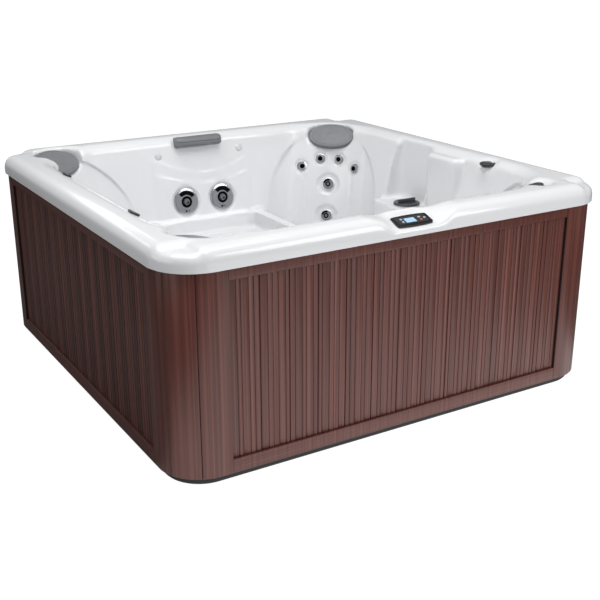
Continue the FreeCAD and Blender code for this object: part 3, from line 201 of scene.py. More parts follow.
def board(name, axis, painted_sheen_share, side_shade_share, railed=False, shadowed=False):
    """Embossed board of a side that runs along an axis. Its grain is upright, and level on rails. A painted
    sheen swings light and dark over one board, painted side shade scales its colour down, and a shadowed
    insert gets painted shadow at its edge."""
    made, tree, place = material(name)
    apart = add(tree, "SeparateXYZ", {"Vector": place})
    along = apart.outputs[axis]
    upright = apart.outputs[2]
    reach = add(tree, "Math", {"operation": "ABSOLUTE", 0: along})
    stile = add(tree, "Math", {"operation": "GREATER_THAN", 0: reach, 1: insert_half})

    def grain(spacing, length, detail):
        """Noise drawn out along the grain: upright, or level where the rails are."""
        share = spacing / length
        vector = add(tree, "Mapping", {"Scale": (1, 1, share), "Vector": place})
        if railed:
            scales = (share, 1, 1) if axis == 0 else (1, share, 1)
            level = add(tree, "Mapping", {"Scale": scales, "Vector": place})
            vector = add(tree, "Mix", {"data_type": "VECTOR", 0: stile, 4: level, 5: vector}).outputs[1]
        return add(tree, "TexNoise", {"Scale": 1 / spacing, "Detail": detail, "Roughness": 0.65,
                                      "Vector": vector})

    pores = grain(pore_spacing, pore_length, 4)
    figure = grain(figure_width, figure_length, 3)
    # Each rib takes the stain a little differently; a painted sheen swings each board light to dark
    across = add(tree, "Math", {"operation": "MULTIPLY", 0: along, 1: 1 / stripe_width})
    stripes = add(tree, "TexNoise", {"noise_dimensions": "1D", "Scale": 1, "Detail": 2, "W": across})
    turns = add(tree, "Math", {"operation": "MULTIPLY", 0: along, 1: math.tau / board_width})
    wave = add(tree, "Math", {"operation": "SINE", 0: turns})
    painted_sheen_wave = add(tree, "Math", {"operation": "MULTIPLY", 0: wave, 1: painted_sheen_share})
    mixed = add(tree, "Mix", {"data_type": "FLOAT", "Factor": 0.4, 2: pores, 3: stripes})
    blend = add(tree, "Mix", {"data_type": "FLOAT", "Factor": 0.3, 2: mixed, 3: figure})
    stain_and_sheen = add(tree, "Math", {"operation": "ADD", 0: blend, 1: painted_sheen_wave})
    colours = add(tree, "ValToRGB", {"Fac": stain_and_sheen})
    stops = colours.color_ramp.elements
    stops.new(ramp_shares[1])
    for stop, share, colour in zip(stops, ramp_shares, ramp_colours):
        stop.position = share
        stop.color = linear(colour)
    finish = colours
    if railed:
        # The fine butt joint between a rail and its stile
        beside = add(tree, "Math", {"operation": "SUBTRACT", 0: reach, 1: insert_half})
        gap = add(tree, "Math", {"operation": "ABSOLUTE", 0: beside})
        dark = add(tree, "Math", {"operation": "LESS_THAN", 0: gap, 1: joint_line})
    if shadowed:
        # Painted shadow darkens the insert where it meets its frame
        side_gap = add(tree, "Math", {"operation": "SUBTRACT", 0: insert_half, 1: reach})
        foot_gap = add(tree, "Math", {"operation": "SUBTRACT", 0: upright, 1: insert_low})
        head_gap = add(tree, "Math", {"operation": "SUBTRACT", 0: insert_high, 1: upright})
        nearest = add(tree, "Math", {"operation": "MINIMUM", 0: side_gap, 1: foot_gap})
        nearest = add(tree, "Math", {"operation": "MINIMUM", 0: nearest, 1: head_gap})
        dark = add(tree, "MapRange", {"From Max": shadow_width, "To Min": 0.9, "To Max": 0,
                                      "Value": nearest})
    if railed or shadowed:
        # The real joint lines and the painted shadow both take one near-black brown
        finish = add(tree, "Mix", {"data_type": "RGBA", 0: dark, 6: colours, 7: linear("#140806")}).outputs[2]
    # Painted shade: a side board's whole colour is scaled darker
    finish = add(tree, "VectorMath", {"operation": "SCALE", "Scale": side_shade_share, "Vector": finish})
    rough = add(tree, "MapRange", {"To Min": 0.5, "To Max": 0.28, "Value": pores})
    bump = add(tree, "Bump", {"Strength": 0.6, "Distance": grain_relief, "Height": pores})
    surface(tree, {"Base Color": finish, "Roughness": rough, "Normal": bump})
    return made


frame_finishes = []
insert_finishes = []
for axis, (painted_sheen_share, side_shade_share) in enumerate(zip(painted_sheen_shares, side_shade_shares)):
    way = " along " + "XY"[axis]
    frame_finishes.append(board("Embossed frame" + way, axis, 0, side_shade_share, railed=True))
    insert_finishes.append(board("Grooved insert" + way, axis, painted_sheen_share, side_shade_share, shadowed=True))
post_finish = board("Embossed corner post", 0, painted_sheen_shares[0], side_shade_shares[0])
for index, side in enumerate(("front", "left", "back", "right")):
    paint(side + "_panel", frame_finishes[index % 2], board_edge)
    paint(side + "_slats", insert_finishes[index % 2], slat_edge)
for corner in ("back_right", "back_left", "front_left", "front_right"):
    paint(corner + "_post", post_finish, board_edge)

# Shell: one sheet of cast acrylic, vacuum formed over a mould and backed with resin, so that every edge is
# drawn soft. The skin is formed over the CAD shell: its water side is taken as a closed block, remeshed fine
# enough to flow, smoothed, and then gets the dishes, seat arches and creases of the mould.
rim_half = 1.065
rim_corner = 0.18
rim_bottom = 0.851
lip_reach = 0.004
lip_turn = 0.012
lip_rise = 0.02
probe = 0.0005
weld = 0.00001
voxel = 0.0125
block_floor = -0.05
kept_floor = 0.05
kept_reach = 0.06
basin_half = 0.85
basin_middle = 0.8
sky_turns = (0, math.radians(-40), math.radians(40))
sky_rises = (math.radians(30), math.radians(55))
basin_corner = 0.35
jet_level = 0.59
wall_lean = 100 / 550
seat_centre = 0.494
seat_radius = 0.362
arch_foot = 0.45
arch_top = 0.92
arch_width = math.radians(58)
arch_shoulder = 2.6
arch_flank = 0.6
arch_edge = 0.012
arch_band = 0.03
arch_reach = 0.022
dish_radii = {"large": 0.084, "front_left": 0.072, "back_right": 0.072, "small": 0.042}
flange_radii = {"large": 0.073, "front_left": 0.037, "back_right": 0.037, "small": 0.028}
dish_margin = 0.008
dish_depth = 0.03
flange_margin = 0.003
flange_rest = 0.0003
lumbar_rise = 0.0025
band_rise = 0.0012
crease = 0.006
lumbar_half = 0.29
pad_ends = ((0.145, -0.985, 0.91), (-0.125, -0.985, 0.91))
pad_soft = 0.09
lobe_drop = 0.075
lobe_soft = 0.11
soft_passes = 60
skin_passes = 6
dish_passes = 2
relax_shares = (0.5, -0.47)
soft_shares = (0.5,)
kept_share = 0.4
flute_turns = (math.radians(-22.5), math.radians(22.5))
flute_half = 0.011
flute_depth = 0.006
flute_foot = 0.38
flute_top = 0.68
ripple = 0.03
ripple_depth = 0.0004
crease_angle = math.radians(50)
# Level, bend and middle of each mould line round the large jets: two smiles, then two frowns
line_curves = ((0.694, 0.68, 0.045), (0.743, 1, 0.04), (0.491, -0.5, 0.03), (0.462, -0.9, -0.02))
UP = Vector((0, 0, 1))
places = {joint["child"]: (Vector(joint["pos_m"]), Vector(joint["axis"]).normalized())
          for joint in frame["joints"] if "pos_m" in joint}


def square_reach(point, half, corner):
    """Distance outside a square with round corners, in plan."""
    x = abs(point.x) - half + corner
    y = abs(point.y) - half + corner
    return math.hypot(max(x, 0), max(y, 0)) + min(max(x, y), 0) - corner


def water_side(face, tree):
    """Whether a face looks at the basin's middle, or at the open sky: straight up, or across the basin."""
    start = face.calc_center_median() + face.normal * probe
    middle = Vector((0, 0, basin_middle)) - start
    if tree.ray_cast(start, middle, middle.length)[0] is None:
        return True
    ways = [UP]
    for turn in sky_turns:
        inward = Matrix.Rotation(turn, 3, "Z") @ Vector((-start.x, -start.y, 0)).normalized()
        ways.extend(inward * math.cos(rise) + UP * math.sin(rise) for rise in sky_rises)
    return any(tree.ray_cast(start, way)[0] is None for way in ways)


def wall_at(z):
    """Distance of the basin's leaning wall from the tub's axis at a level."""
    return basin_half + (z - jet_level) * wall_lean


def step(value, low, high):
    """Smooth passage from 0 to 1 as a value goes from low to high."""
    share = np.clip((value - low) / (high - low), 0, 1)
    return share * share * (3 - 2 * share)


def corner_terms(points):
    """Distance past the basin's wall and its way, angle off a seat's diagonal, and distance past its back."""
    signs = np.sign(points[:, :2])
    folded = np.abs(points[:, :2])
    half = wall_at(points[:, 2])[:, None]
    beyond = folded - half + basin_corner
    past = np.maximum(beyond, 0)
    reach = np.hypot(past[:, 0], past[:, 1]) + np.minimum(beyond.max(1), 0) - basin_corner
    way = past / np.maximum(np.hypot(past[:, 0], past[:, 1]), probe)[:, None] * signs
    centre = seat_centre + (points[:, 2] - jet_level) * wall_lean
    local = folded - centre[:, None]
    turn = np.arctan2(local[:, 1], local[:, 0]) - math.pi / 4
    return reach, way, turn, np.hypot(local[:, 0], local[:, 1]) - seat_radius


def arch_angle(z):
    """Half the width of a corner seat's back, as an angle off its diagonal: an arch over the seat."""
    share = np.clip((z - arch_foot) / (arch_top - arch_foot), 0, 1)
    return arch_width * (1 - share ** arch_shoulder) ** arch_flank


def jet_distances(points):
    """For each jet: its kind, its axis, and the points' distances along and off that axis."""
    for body, (centre, axis) in places.items():
        kind = next((kind for kind in dish_radii if kind in body), None)
        if kind is None or "nozzle" in body or "air" in body:
            continue
        apart = points - np.array(centre)
        along = apart @ np.array(axis)
        yield kind, np.array(axis), along, np.linalg.norm(apart - along[:, None] * np.array(axis), axis=1)


def relax(points, edges, weight, shares, passes):
    """Moves points by their weight and by each share in turn towards the middle of their neighbours."""
    count = np.bincount(edges.ravel(), minlength=len(points))[:, None]
    for turn in range(passes):
        for share in shares:
            total = np.zeros_like(points)
            np.add.at(total, edges[:, 0], points[edges[:, 1]])
            np.add.at(total, edges[:, 1], points[edges[:, 0]])
            points += share * weight * (total / count - points)


def read_points(form):
    """The points, edges and border marks of a form as arrays."""
    form.verts.index_update()
    points = np.array([vert.co for vert in form.verts])
    edges = np.array([[vert.index for vert in edge.verts] for edge in form.edges])
    border = np.zeros(len(points), bool)
    border[[vert.index for edge in form.edges if edge.is_boundary for vert in edge.verts]] = True
    return points, edges, border


def write_points(form, points):
    """Puts an array of points back into a form."""
    for vert, point in zip(form.verts, points):
        vert.co = point


def as_mesh(name, form):
    """The mesh of a finished form."""
    made = bpy.data.meshes.new(name)
    form.to_mesh(made)
    form.free()
    return made


def put(name, data):
    """A new object in the scene."""
    made = bpy.data.objects.new(name, data)
    bpy.context.scene.collection.objects.link(made)
    return made


block = bmesh.new()
block.from_mesh(nodes["shell"].data)
bmesh.ops.remove_doubles(block, verts=block.verts, dist=weld)
tree = BVHTree.FromBMesh(block)
hidden = {face for face in block.faces if not water_side(face, tree)}
# A sliver has no sure direction, so it goes with its neighbours
for sweep in range(3):
    for face in list(hidden):
        around = {other for edge in face.edges for other in edge.link_faces} - {face}
        if len(around - hidden) > 1:
            hidden.remove(face)
bmesh.ops.delete(block, geom=list(hidden), context="FACES")
lip = {edge for edge in block.edges if edge.is_boundary
       and all(abs(vert.co.z - rim_bottom) < lip_reach for vert in edge.verts)
       and square_reach(edge.verts[0].co, rim_half, rim_corner) > -lip_reach}
# The bores behind the fittings are closed, then the block is drawn down to a floor below the tub
bores = [edge for edge in block.edges if edge.is_boundary and edge not in lip]
bmesh.ops.holes_fill(block, edges=bores, sides=0)
bores = [edge for edge in block.edges if edge.is_boundary and edge not in lip]
bmesh.ops.triangle_fill(block, use_beauty=True, edges=bores)
bmesh.ops.dissolve_degenerate(block, dist=weld, edges=block.edges)
lip = [edge for edge in block.edges if edge.is_boundary
       and abs(edge.verts[0].co.z - rim_bottom) < lip_reach]
drawn = bmesh.ops.extrude_edge_only(block, edges=lip)["geom"]
for part in drawn:
    if isinstance(part, bmesh.types.BMVert):
        part.co.z = block_floor
foot = [part for part in drawn if isinstance(part, bmesh.types.BMEdge)]
bmesh.ops.contextual_create(block, geom=foot)
bmesh.ops.triangulate(block, faces=block.faces)
block_piece = put("Shell block", as_mesh("Shell block", block))
remesh = block_piece.modifiers.new("Remesh", "REMESH")
remesh.mode = "VOXEL"
remesh.voxel_size = voxel
depsgraph = bpy.context.evaluated_depsgraph_get()
skin = bmesh.new()
skin.from_mesh(block_piece.evaluated_get(depsgraph).to_mesh())
bpy.data.objects.remove(block_piece)
below = []
for face in skin.faces:
    middle = face.calc_center_median()
    outside = square_reach(middle, rim_half, rim_corner) > -kept_reach
    if middle.z < kept_floor or (outside and middle.z < rim_bottom - voxel * kept_share):
        below.append(face)
bmesh.ops.delete(skin, geom=below, context="FACES")
points, edges, border = read_points(skin)
relax(points, edges, ~border[:, None], relax_shares, skin_passes)
points[border, 2] = rim_bottom
write_points(skin, points)

# Finer mesh where the mould has small forms
points, edges, border = read_points(skin)
near_jet = np.zeros(len(points), bool)
for kind, axis, along, off in jet_distances(points):
    near_jet |= (off < dish_radii[kind] + dish_margin) & (np.abs(along) < dish_depth)
reach, way, turn, behind = corner_terms(points)
edge_off = np.abs(np.abs(turn) - arch_angle(points[:, 2])) * seat_radius
on_back = (np.abs(behind) < arch_reach) & (points[:, 2] > arch_foot) & (points[:, 2] < arch_top)
near_arch = on_back & (edge_off < arch_band)
skin.verts.ensure_lookup_table()
finer = [edge for edge in skin.edges if all(near_jet[vert.index] for vert in edge.verts)]
bmesh.ops.subdivide_edges(skin, edges=finer, cuts=3, use_grid_fill=True)
marks = near_arch.tolist() + [False] * (len(skin.verts) - len(near_arch))
skin.verts.index_update()
finer = [edge for edge in skin.edges if all(marks[vert.index] for vert in edge.verts)]
bmesh.ops.subdivide_edges(skin, edges=finer, cuts=1, use_grid_fill=True)

# Outside the arch of each corner seat the wall stands a little further in than the seat's round back
points, edges, border = read_points(skin)
reach, way, turn, behind = corner_terms(points)
on_back = step(points[:, 2], arch_foot - arch_band, arch_foot) * step(arch_top - points[:, 2], 0, arch_band)
outside = step((np.abs(turn) - arch_angle(points[:, 2])) * seat_radius, -arch_edge / 2, arch_edge / 2)
close = (np.abs(reach) < arch_reach) & (reach > 0)
points[:, :2] -= way * (reach * outside * on_back * close)[:, None]

# Pad and bands of the back wall round the two large jets
smile_low, smile_high, frown_high, frown_low = [
    points[:, 2] - (level + bend * (points[:, 0] - middle) ** 2) for level, bend, middle in line_curves]
pad = step(frown_high, 0, crease) * step(-smile_low, 0, crease)
bands = step(smile_low, 0, crease) * step(-smile_high, 0, crease)
bands += step(-frown_high, 0, crease) * step(frown_low, 0, crease)
on_wall = step(lumbar_half - np.abs(points[:, 0]), 0, 3 * crease)
on_wall *= np.abs(points[:, 1] - wall_at(points[:, 2])) < 2 * crease
points[:, 1] -= (pad * lumbar_rise + bands * band_rise) * on_wall

# Two flutes each side of the back right seat's jets
for flute in flute_turns:
    across = step(flute_half - np.abs(turn - flute) * seat_radius, 0, flute_half)
    height = step(points[:, 2], flute_foot, flute_foot + arch_band)
    height *= step(flute_top - points[:, 2], 0, arch_band)
    back_right = (points[:, 0] > 0) & (points[:, 1] > 0) & (np.abs(behind) < arch_reach)
    outward = np.stack((np.cos(turn + math.pi / 4), np.sin(turn + math.pi / 4)), 1)
    points[:, :2] += outward * (across * height * back_right * flute_depth)[:, None]

# Round dishes with a flat floor, where the jets' flanges sit
for kind, axis, along, off in jet_distances(points):
    near = (np.abs(along) < dish_depth) & (off < dish_radii[kind] + dish_margin)
    flat = 1 - step(off, flange_radii[kind] + flange_margin, dish_radii[kind] + flange_margin)
    points -= axis * ((along + flange_rest) * flat * near)[:, None]
held = border.copy()
for kind, axis, along, off in jet_distances(points):
    held |= (np.abs(along) < dish_depth) & (off < flange_radii[kind] + flange_margin)
relax(points, edges, ~held[:, None], relax_shares, dish_passes)
write_points(skin, points)

# The panel's sloping pad runs out softly at both ends, and so does the lobe under the diverter knob
points, edges, border = read_points(skin)
soft_spots = [(np.array(pad_end), pad_soft) for pad_end in pad_ends]
soft_spots.append((np.array(places["diverter"][0] - UP * lobe_drop), lobe_soft))
for centre, soft_radius in soft_spots:
    off = np.linalg.norm(points - centre, axis=1)
    weight = (1 - step(off, soft_radius / 2, soft_radius))[:, None] * ~border[:, None]
    relax(points, edges, weight, soft_shares, soft_passes)
write_points(skin, points)

# The lip is turned in under the rim
rim_edges = [edge for edge in skin.edges if edge.is_boundary]
for inward, rise in ((lip_turn, 0), (0, lip_rise)):
    grown = bmesh.ops.extrude_edge_only(skin, edges=rim_edges)["geom"]
    rim_edges = [part for part in grown if isinstance(part, bmesh.types.BMEdge)]
    for part in grown:
        if isinstance(part, bmesh.types.BMVert):
            centre = Vector((max(min(part.co.x, rim_half - rim_corner), rim_corner - rim_half),
                             max(min(part.co.y, rim_half - rim_corner), rim_corner - rim_half), part.co.z))
            part.co += (centre - part.co).normalized() * inward + UP * rise


def piece(name, form, finish, body, slot, *stands_for, at=None):
    """An object from a form: set in place, shaded smooth, riding on its body and standing for CAD nodes."""
    if at is not None:
        bmesh.ops.transform(form, matrix=at, verts=form.verts)
    bmesh.ops.recalc_face_normals(form, faces=form.faces)
    for face in form.faces:
        face.smooth = True
    mesh = as_mesh(name, form)
    mesh.set_sharp_from_angle(angle=crease_angle)
    mesh.materials.append(finish)
    made = put(name, mesh)
    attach(made, body)
    if stands_for:
        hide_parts(*stands_for)
    return made


# A glossy clear white skin with the faint ripple that vacuum forming leaves
acrylic, tree, place = material("Cast acrylic")
shade = clouded(tree, place, linear("#dfe0e2")[:3], ripple * 20, 0.985, 1.01)
surface(tree, {"Roughness": 0.12, "IOR": 1.49, "Base Color": shade,
               "Normal": grained(tree, place, ripple, 1, 0.5, ripple_depth)})
piece("formed_shell", skin, acrylic, "tub", "acrylic_shell", "shell")

# Pillows: skinned foam with an oval rim and ring channels, pressed into seats of the shell's rim. The bar at
# the back is straight and ribbed. They are moulded, so they are built by profile and not simulated.
pillow_thickness = 0.034
pillow_steps = 96
oval_shares = ((0, 1), (0.26, 0.99), (0.3, 0.96), (0.34, 0.99), (0.48, 0.975), (0.52, 0.94), (0.56, 0.97),
               (0.66, 0.96), (0.7, 0.925), (0.74, 0.955), (0.81, 0.94), (0.855, 0.87), (0.9, 0.93),
               (0.93, 0.935), (0.965, 0.915), (0.99, 0.87),
               (1, 0.8), (0.995, 0.5), (0.985, 0.2), (0.96, 0.02), (0.9, 0), (0, 0))
bar_shares = ((0.02, 0), (0.45, 0), (0.7, 0.04), (0.86, 0.12), (0.95, 0.24), (1, 0.4), (0.985, 0.48),
              (0.93, 0.5), (0.92, 0.53), (0.955, 0.57), (0.95, 0.68), (0.89, 0.82), (0.78, 0.92),
              (0.6, 0.98), (0.4, 1), (0.02, 0.985))
# Crown, way it looks, half the length and half the height of each round pillow
pillow_places = {
    "back_right_pillow": ((0.8, 0.8, 0.88), (-0.5, -0.5, 0.7071), 0.135, 0.078),
    "front_left_pillow": ((-0.838, -0.838, 0.887), (0.5, 0.5, 0.7071), 0.135, 0.078),
    "back_left_pillow": ((-0.806, 0.884, 0.884), (0.1962, -0.539, 0.8192), 0.13, 0.088),
}
bar_left = -0.146
bar_right = 0.124
bar_low = 0.883
bar_top = 0.939
bar_back = 0.9132
bar_depth = 0.054
bar_steps = 40
bar_end = 0.014
bar_end_share = 0.12
bar_bow_share = 0.1
foam_pebble = 0.0016


def facing(point, outward, upward=UP):
    """The frame at a point whose Z looks along outward and whose Y leans towards upward."""
    third = Vector(outward).normalized()
    first = upward.cross(third).normalized()
    turn = Matrix((first, third.cross(first), third)).transposed().to_4x4()
    return Matrix.Translation(point) @ turn


def turned(profile, steps):
    """A form spun about Z from a profile of (radius, height) points, with its poles closed."""
    form = bmesh.new()
    line = [form.verts.new((radius, 0, height)) for radius, height in profile]
    for start, end in zip(line, line[1:]):
        form.edges.new((start, end))
    bmesh.ops.spin(form, geom=form.verts[:] + form.edges[:], cent=(0, 0, 0), axis=UP,
                   angle=math.tau, steps=steps, use_merge=True)
    bmesh.ops.remove_doubles(form, verts=form.verts, dist=weld)
    return form


def lofted(outlines):
    """A form drawn over outlines of as many points each, with a face over both ends."""
    form = bmesh.new()
    rings = [[form.verts.new(point) for point in outline] for outline in outlines]
    for low, high in zip(rings, rings[1:]):
        for index in range(len(low)):
            after = (index + 1) % len(low)
            form.faces.new((low[index], high[index], high[after], low[after]))
    form.faces.new(rings[0])
    form.faces.new(rings[-1])
    return form


# A closed foam skin is mid grey and matt, with a fine pebble
foam, tree, place = material("Skinned pillow foam")
shade = clouded(tree, place, linear("#75777a")[:3], foam_pebble * 25, 0.9, 1.1)
pits = add(tree, "TexVoronoi", {"Scale": 1 / foam_pebble, "Vector": place})
bump = add(tree, "Bump", {"Strength": 0.35, "Distance": foam_pebble / 8, "Height": pits})
surface(tree, {"Roughness": 0.42, "Specular IOR Level": 0.45, "Base Color": shade, "Normal": bump})
for name, (crown, look, half_length, half_height) in pillow_places.items():
    profile = [(share * half_length, rise * pillow_thickness) for share, rise in oval_shares]
    oval = Matrix.Diagonal((1, half_height / half_length, 1, 1))
    seat = facing(Vector(crown) - Vector(look) * pillow_thickness, look)
    made = piece(name + "_cushion", turned(profile, pillow_steps), foam, "tub", "pillow_foam", name,
                 at=seat @ oval)

sections = []
for index in range(bar_steps + 1):
    share = index / bar_steps
    x = bar_left + (bar_right - bar_left) * share
    beside = min(x - bar_left, bar_right - x) / bar_end
    swell = 1 - bar_end_share * (1 - math.sqrt(max(1 - (1 - min(beside, 1)) ** 2, 0)))
    bow = 1 - bar_bow_share * (2 * share - 1) ** 4
    sections.append([(x, bar_back - bar_depth * depth_share * swell * bow,
                      bar_low + (bar_top - bar_low) * (0.5 + (rise_share - 0.5) * swell))
                     for depth_share, rise_share in bar_shares])
made = piece("back_middle_pillow_cushion", lofted(sections), foam, "tub", "pillow_foam", "back_middle_pillow")

# Jets: a satin plated flange round each turning face of grey plastic, with a crescent port at its top and two
# dots at its foot, painted black as shade. The large ones carry a small turning nozzle, and the small ones
# have a well, painted dark as shade, round a fixed core.
jet_steps = 96
face_low = 0.0043
face_high = 0.0133
face_edge = 0.0015
rounding_share = 0.3
large_face = 0.064
medium_face = 0.031
small_face = 0.022
nozzle_radius = 0.0172
nozzle_gap = 0.0012
nozzle_low = -0.0044
nozzle_high = 0.0172
nozzle_mouth = 0.0055
nozzle_off = 0.005
ring_step = 0.0013
port_shares = (0.58, 0.95)
port_half = math.radians(50)
port_turn = math.radians(8)
medium_port_turn = math.radians(-28)
port_depth = 0.0065
port_edge = 0.0012
groove_share = 0.5
groove_depth = 0.005
step_share = 0.66
step_depth = 0.0008
dot_share = 0.78
dot_spread_share = 0.12
dot_radius_shares = (0.1, 0.06)
dot_depth = 0.003
well_share = 0.62
core_share = 0.26
core_rise_share = 0.7
medium_core_share = 0.3
medium_rise_share = 0.8
hollow_from = 0.0015
plating_grain = 0.0008
plastic_grain = 0.0006
flange_edge = 0.0012


def carved(profile, steps, carve):
    """A turned form whose flat front is lowered by carve, and marked where it is hollow."""
    form = turned(profile, steps)
    front = max(height for radius, height in profile)
    hollow = form.verts.layers.float.new("hollow")
    for vert in form.verts:
        depth = carve(vert.co.x, vert.co.y) if front - vert.co.z < weld else 0
        vert.co.z -= depth
        vert[hollow] = float(step(depth, hollow_from / 2, hollow_from))
    return form


def front_profile(inner, outer, high):
    """Profile of a round front, in small steps that carving can bend, out to its rounded edge."""
    count = round((outer - inner) / ring_step)
    front = [(inner + (outer - face_edge - inner) * index / count, high) for index in range(count + 1)]
    rounding = face_edge * rounding_share
    return front + [(outer - rounding, high - rounding), (outer, high - face_edge)]


def inside(distance):
    """1 well inside an outline, 0 outside it, with a soft edge between."""
    return float(step(distance, 0, port_edge))


def port_carve(radius, port_at):
    """The depth of a jet face's front at a point: a groove round its middle, a crescent port and two dots."""
    def carve(x, y):
        reach = math.hypot(x, y)
        turn = abs(math.atan2(x, y) - port_at)
        across = min(reach - port_shares[0] * radius, port_shares[1] * radius - reach,
                     (port_half - turn) * reach)
        depths = [step_depth * inside(reach - step_share * radius), port_depth * inside(across),
                  groove_depth * inside(groove_share * radius - reach)]
        for side, radius_share in zip((-1, 1), dot_radius_shares):
            dot = math.hypot(x - side * dot_spread_share * radius, y + dot_share * radius)
            depths.append(dot_depth * inside(radius_share * radius - dot))
        return max(depths)
    return carve


def nozzle_carve(x, y):
    """The depth of a nozzle's front: a round mouth beside its middle."""
    return port_depth * inside(nozzle_mouth - math.hypot(x - nozzle_off, y + nozzle_off))


def small_carve(x, y):
    """The depth of a small jet's front: a well, painted dark as shade, with a fixed core left standing in it.
    """
    reach = math.hypot(x, y)
    core = inside(core_share * small_face - reach)
    return port_depth * inside(well_share * small_face - reach) * (1 - core * core_rise_share)


def medium_carve(x, y):
    """The depth of a medium jet's front: the crescent port, and a groove round a fixed core."""
    core = inside(medium_core_share * medium_face - math.hypot(x, y))
    return port_carve(medium_face, medium_port_turn)(x, y) * (1 - core * medium_rise_share)


def ported(name, colour, dark, roughness):
    """Moulded plastic whose hollows are painted black as painted shade, with their reflection turned down, by
    the attribute that its mesh carries.
    """
    made, tree, place = material(name)
    hollow = add(tree, "Attribute", {"attribute_name": "hollow"}).outputs["Fac"]
    base = add(tree, "Mix", {"data_type": "RGBA", 0: hollow, 6: linear(colour), 7: linear(dark)}).outputs[2]
    shade = clouded(tree, place, base, plastic_grain * 12, 0.92, 1.08)
    bump = grained(tree, place, plastic_grain, 2, 0.2, plastic_grain / 10)
    # Painted shade: the hollows lose most of their reflection
    shine = add(tree, "MapRange", {"To Min": 0.5, "To Max": 0.05, "Value": hollow})
    surface(tree, {"Roughness": roughness, "IOR": 1.5, "Base Color": shade, "Normal": bump,
                   "Specular IOR Level": shine})
    return made


def plated(name, colour, roughness):
    """Plated or brushed metal: a bright skin with fine turned lines in its roughness."""
    made, tree, place = material(name)
    lines = add(tree, "TexNoise", {"Scale": 1 / plating_grain, "Detail": 3, "Vector": place})
    rough = add(tree, "MapRange", {"To Min": roughness * 0.7, "To Max": roughness * 1.3, "Value": lines})
    surface(tree, {"Base Color": linear(colour), "Metallic": 1, "Roughness": rough})
    return made


plating = plated("Satin plating", "#c3c5c8", 0.24)
plating_pale = plated("Pale plating", "#eff0f1", 0.4)
# The second colour of each is the painted shade of its hollows
jet_grey = ported("Grey jet plastic", "#7d8084", "#030303", 0.28)
jet_dark = ported("Dark jet plastic", "#5b5e62", "#030303", 0.25)
jet_pale = ported("Pale jet plastic", "#8b8e91", "#030303", 0.22)
for size, finish in (("large", plating), ("medium", plating_pale), ("small", plating)):
    paint(size + "_jet_bodies", finish, flange_edge)
bore = nozzle_radius + nozzle_gap
face_profile = [(bore, face_low), (bore, face_high - face_edge)]
face_profile += front_profile(bore, large_face, face_high) + [(large_face, face_low), (bore, face_low)]
nozzle_profile = front_profile(0, nozzle_radius, nozzle_high) + [(nozzle_radius, nozzle_low), (0, nozzle_low)]
for side in ("left", "right"):
    seat = facing(*places["large_jet_" + side])
    form = carved(face_profile, jet_steps, port_carve(large_face, port_turn))
    piece("large_face_" + side, form, jet_grey, "large_jet_" + side, "jet_plastic", "large_jet_face_" + side,
          at=seat)
    form = carved(nozzle_profile, jet_steps // 2, nozzle_carve)
    piece("large_nozzle_insert_" + side, form, jet_dark, "large_nozzle_" + side, "jet_plastic",
          "large_jet_nozzle_" + side, at=seat)
for body in [body for body in places if "small_jet" in body or body.endswith("er_jet")]:
    small = "small" in body
    radius = small_face if small else medium_face
    profile = front_profile(0, radius, face_high) + [(radius, face_low), (0, face_low)]
    form = carved(profile, jet_steps // 2, small_carve if small else medium_carve)
    node_name = body.replace("small_jet_", "small_jet_face_") if small else body + "_face"
    piece(body + "_insert", form, jet_pale if small else jet_grey, body, "jet_plastic", node_name,
          at=facing(*places[body]))

# Fittings of the shell: round caps high on the back wall, slotted suction covers on the foot well's floor and
# a ribbed light lens in its side. All are moulded plastic and snap into bores of the shell.
cap_spread = 0.245
cap_level = 0.848
cap_radius = 0.02
cap_height = 0.004
cap_shares = ((0, 1), (0.6, 0.98), (0.9, 0.75), (1, 0.35), (1, 0), (0, 0))
cap_steps = 48
cap_texture = (0.001, 0.00003)
suction_spread = 0.15
suction_level = 0.13
suction_radius = 0.056
suction_height = 0.012
suction_slots = 24
suction_rings = 41
suction_edge_shares = ((0.98, 0.8), (1, 0.25), (1, 0), (0, 0))
slot_shares = (0.3, 0.84)
slot_half_share = 0.28
slot_depth_share = 0.6
light_place = (-0.39, 0, 0.30)
light_radius = 0.048
light_height = 0.009
lens_ribs = 9
lens_steps = 72
crown_share = 0.9
rib_share = 0.09
lens_cloud = 0.01
cap_plastic = moulded("White cap plastic", "#c9cbce", 0.25, cap_texture)
caps = bmesh.new()
for side in (-1, 1):
    form = turned([(cap_radius * share, cap_height * rise) for share, rise in cap_shares], cap_steps)
    seat = facing((side * cap_spread, wall_at(cap_level), cap_level), (0, -1, wall_lean))
    bmesh.ops.transform(form, matrix=seat, verts=form.verts)
    caps.from_mesh(as_mesh("cap", form))
piece("wall_cap_domes", caps, cap_plastic, "tub", "acrylic_shell", "wall_caps")


def slot_carve(x, y):
    """Depth of the radial slots of a suction cover."""
    reach = math.hypot(x, y)
    turn = math.atan2(y, x) * suction_slots / math.tau % 1
    across = (slot_half_share - abs(turn - 0.5)) * math.tau * reach / suction_slots
    along = min(reach - suction_radius * slot_shares[0], suction_radius * slot_shares[1] - reach)
    return suction_height * slot_depth_share * inside(min(across, along))


# The slots are painted near black as painted shade
suction_grey = ported("Grey suction cover", "#8b8d90", "#101112", 0.35)
profile = [(ring_step * index, suction_height) for index in range(suction_rings + 1)]
profile += [(suction_radius * share, suction_height * rise) for share, rise in suction_edge_shares]
for side, name, stands in ((-1, "left", ("suction_covers",)), (1, "right", ())):
    place_at = Matrix.Translation((side * suction_spread, 0, suction_level))
    form = carved(profile, suction_slots * 8, slot_carve)
    piece("suction_cover_" + name, form, suction_grey, "tub", "jet_plastic", *stands, at=place_at)

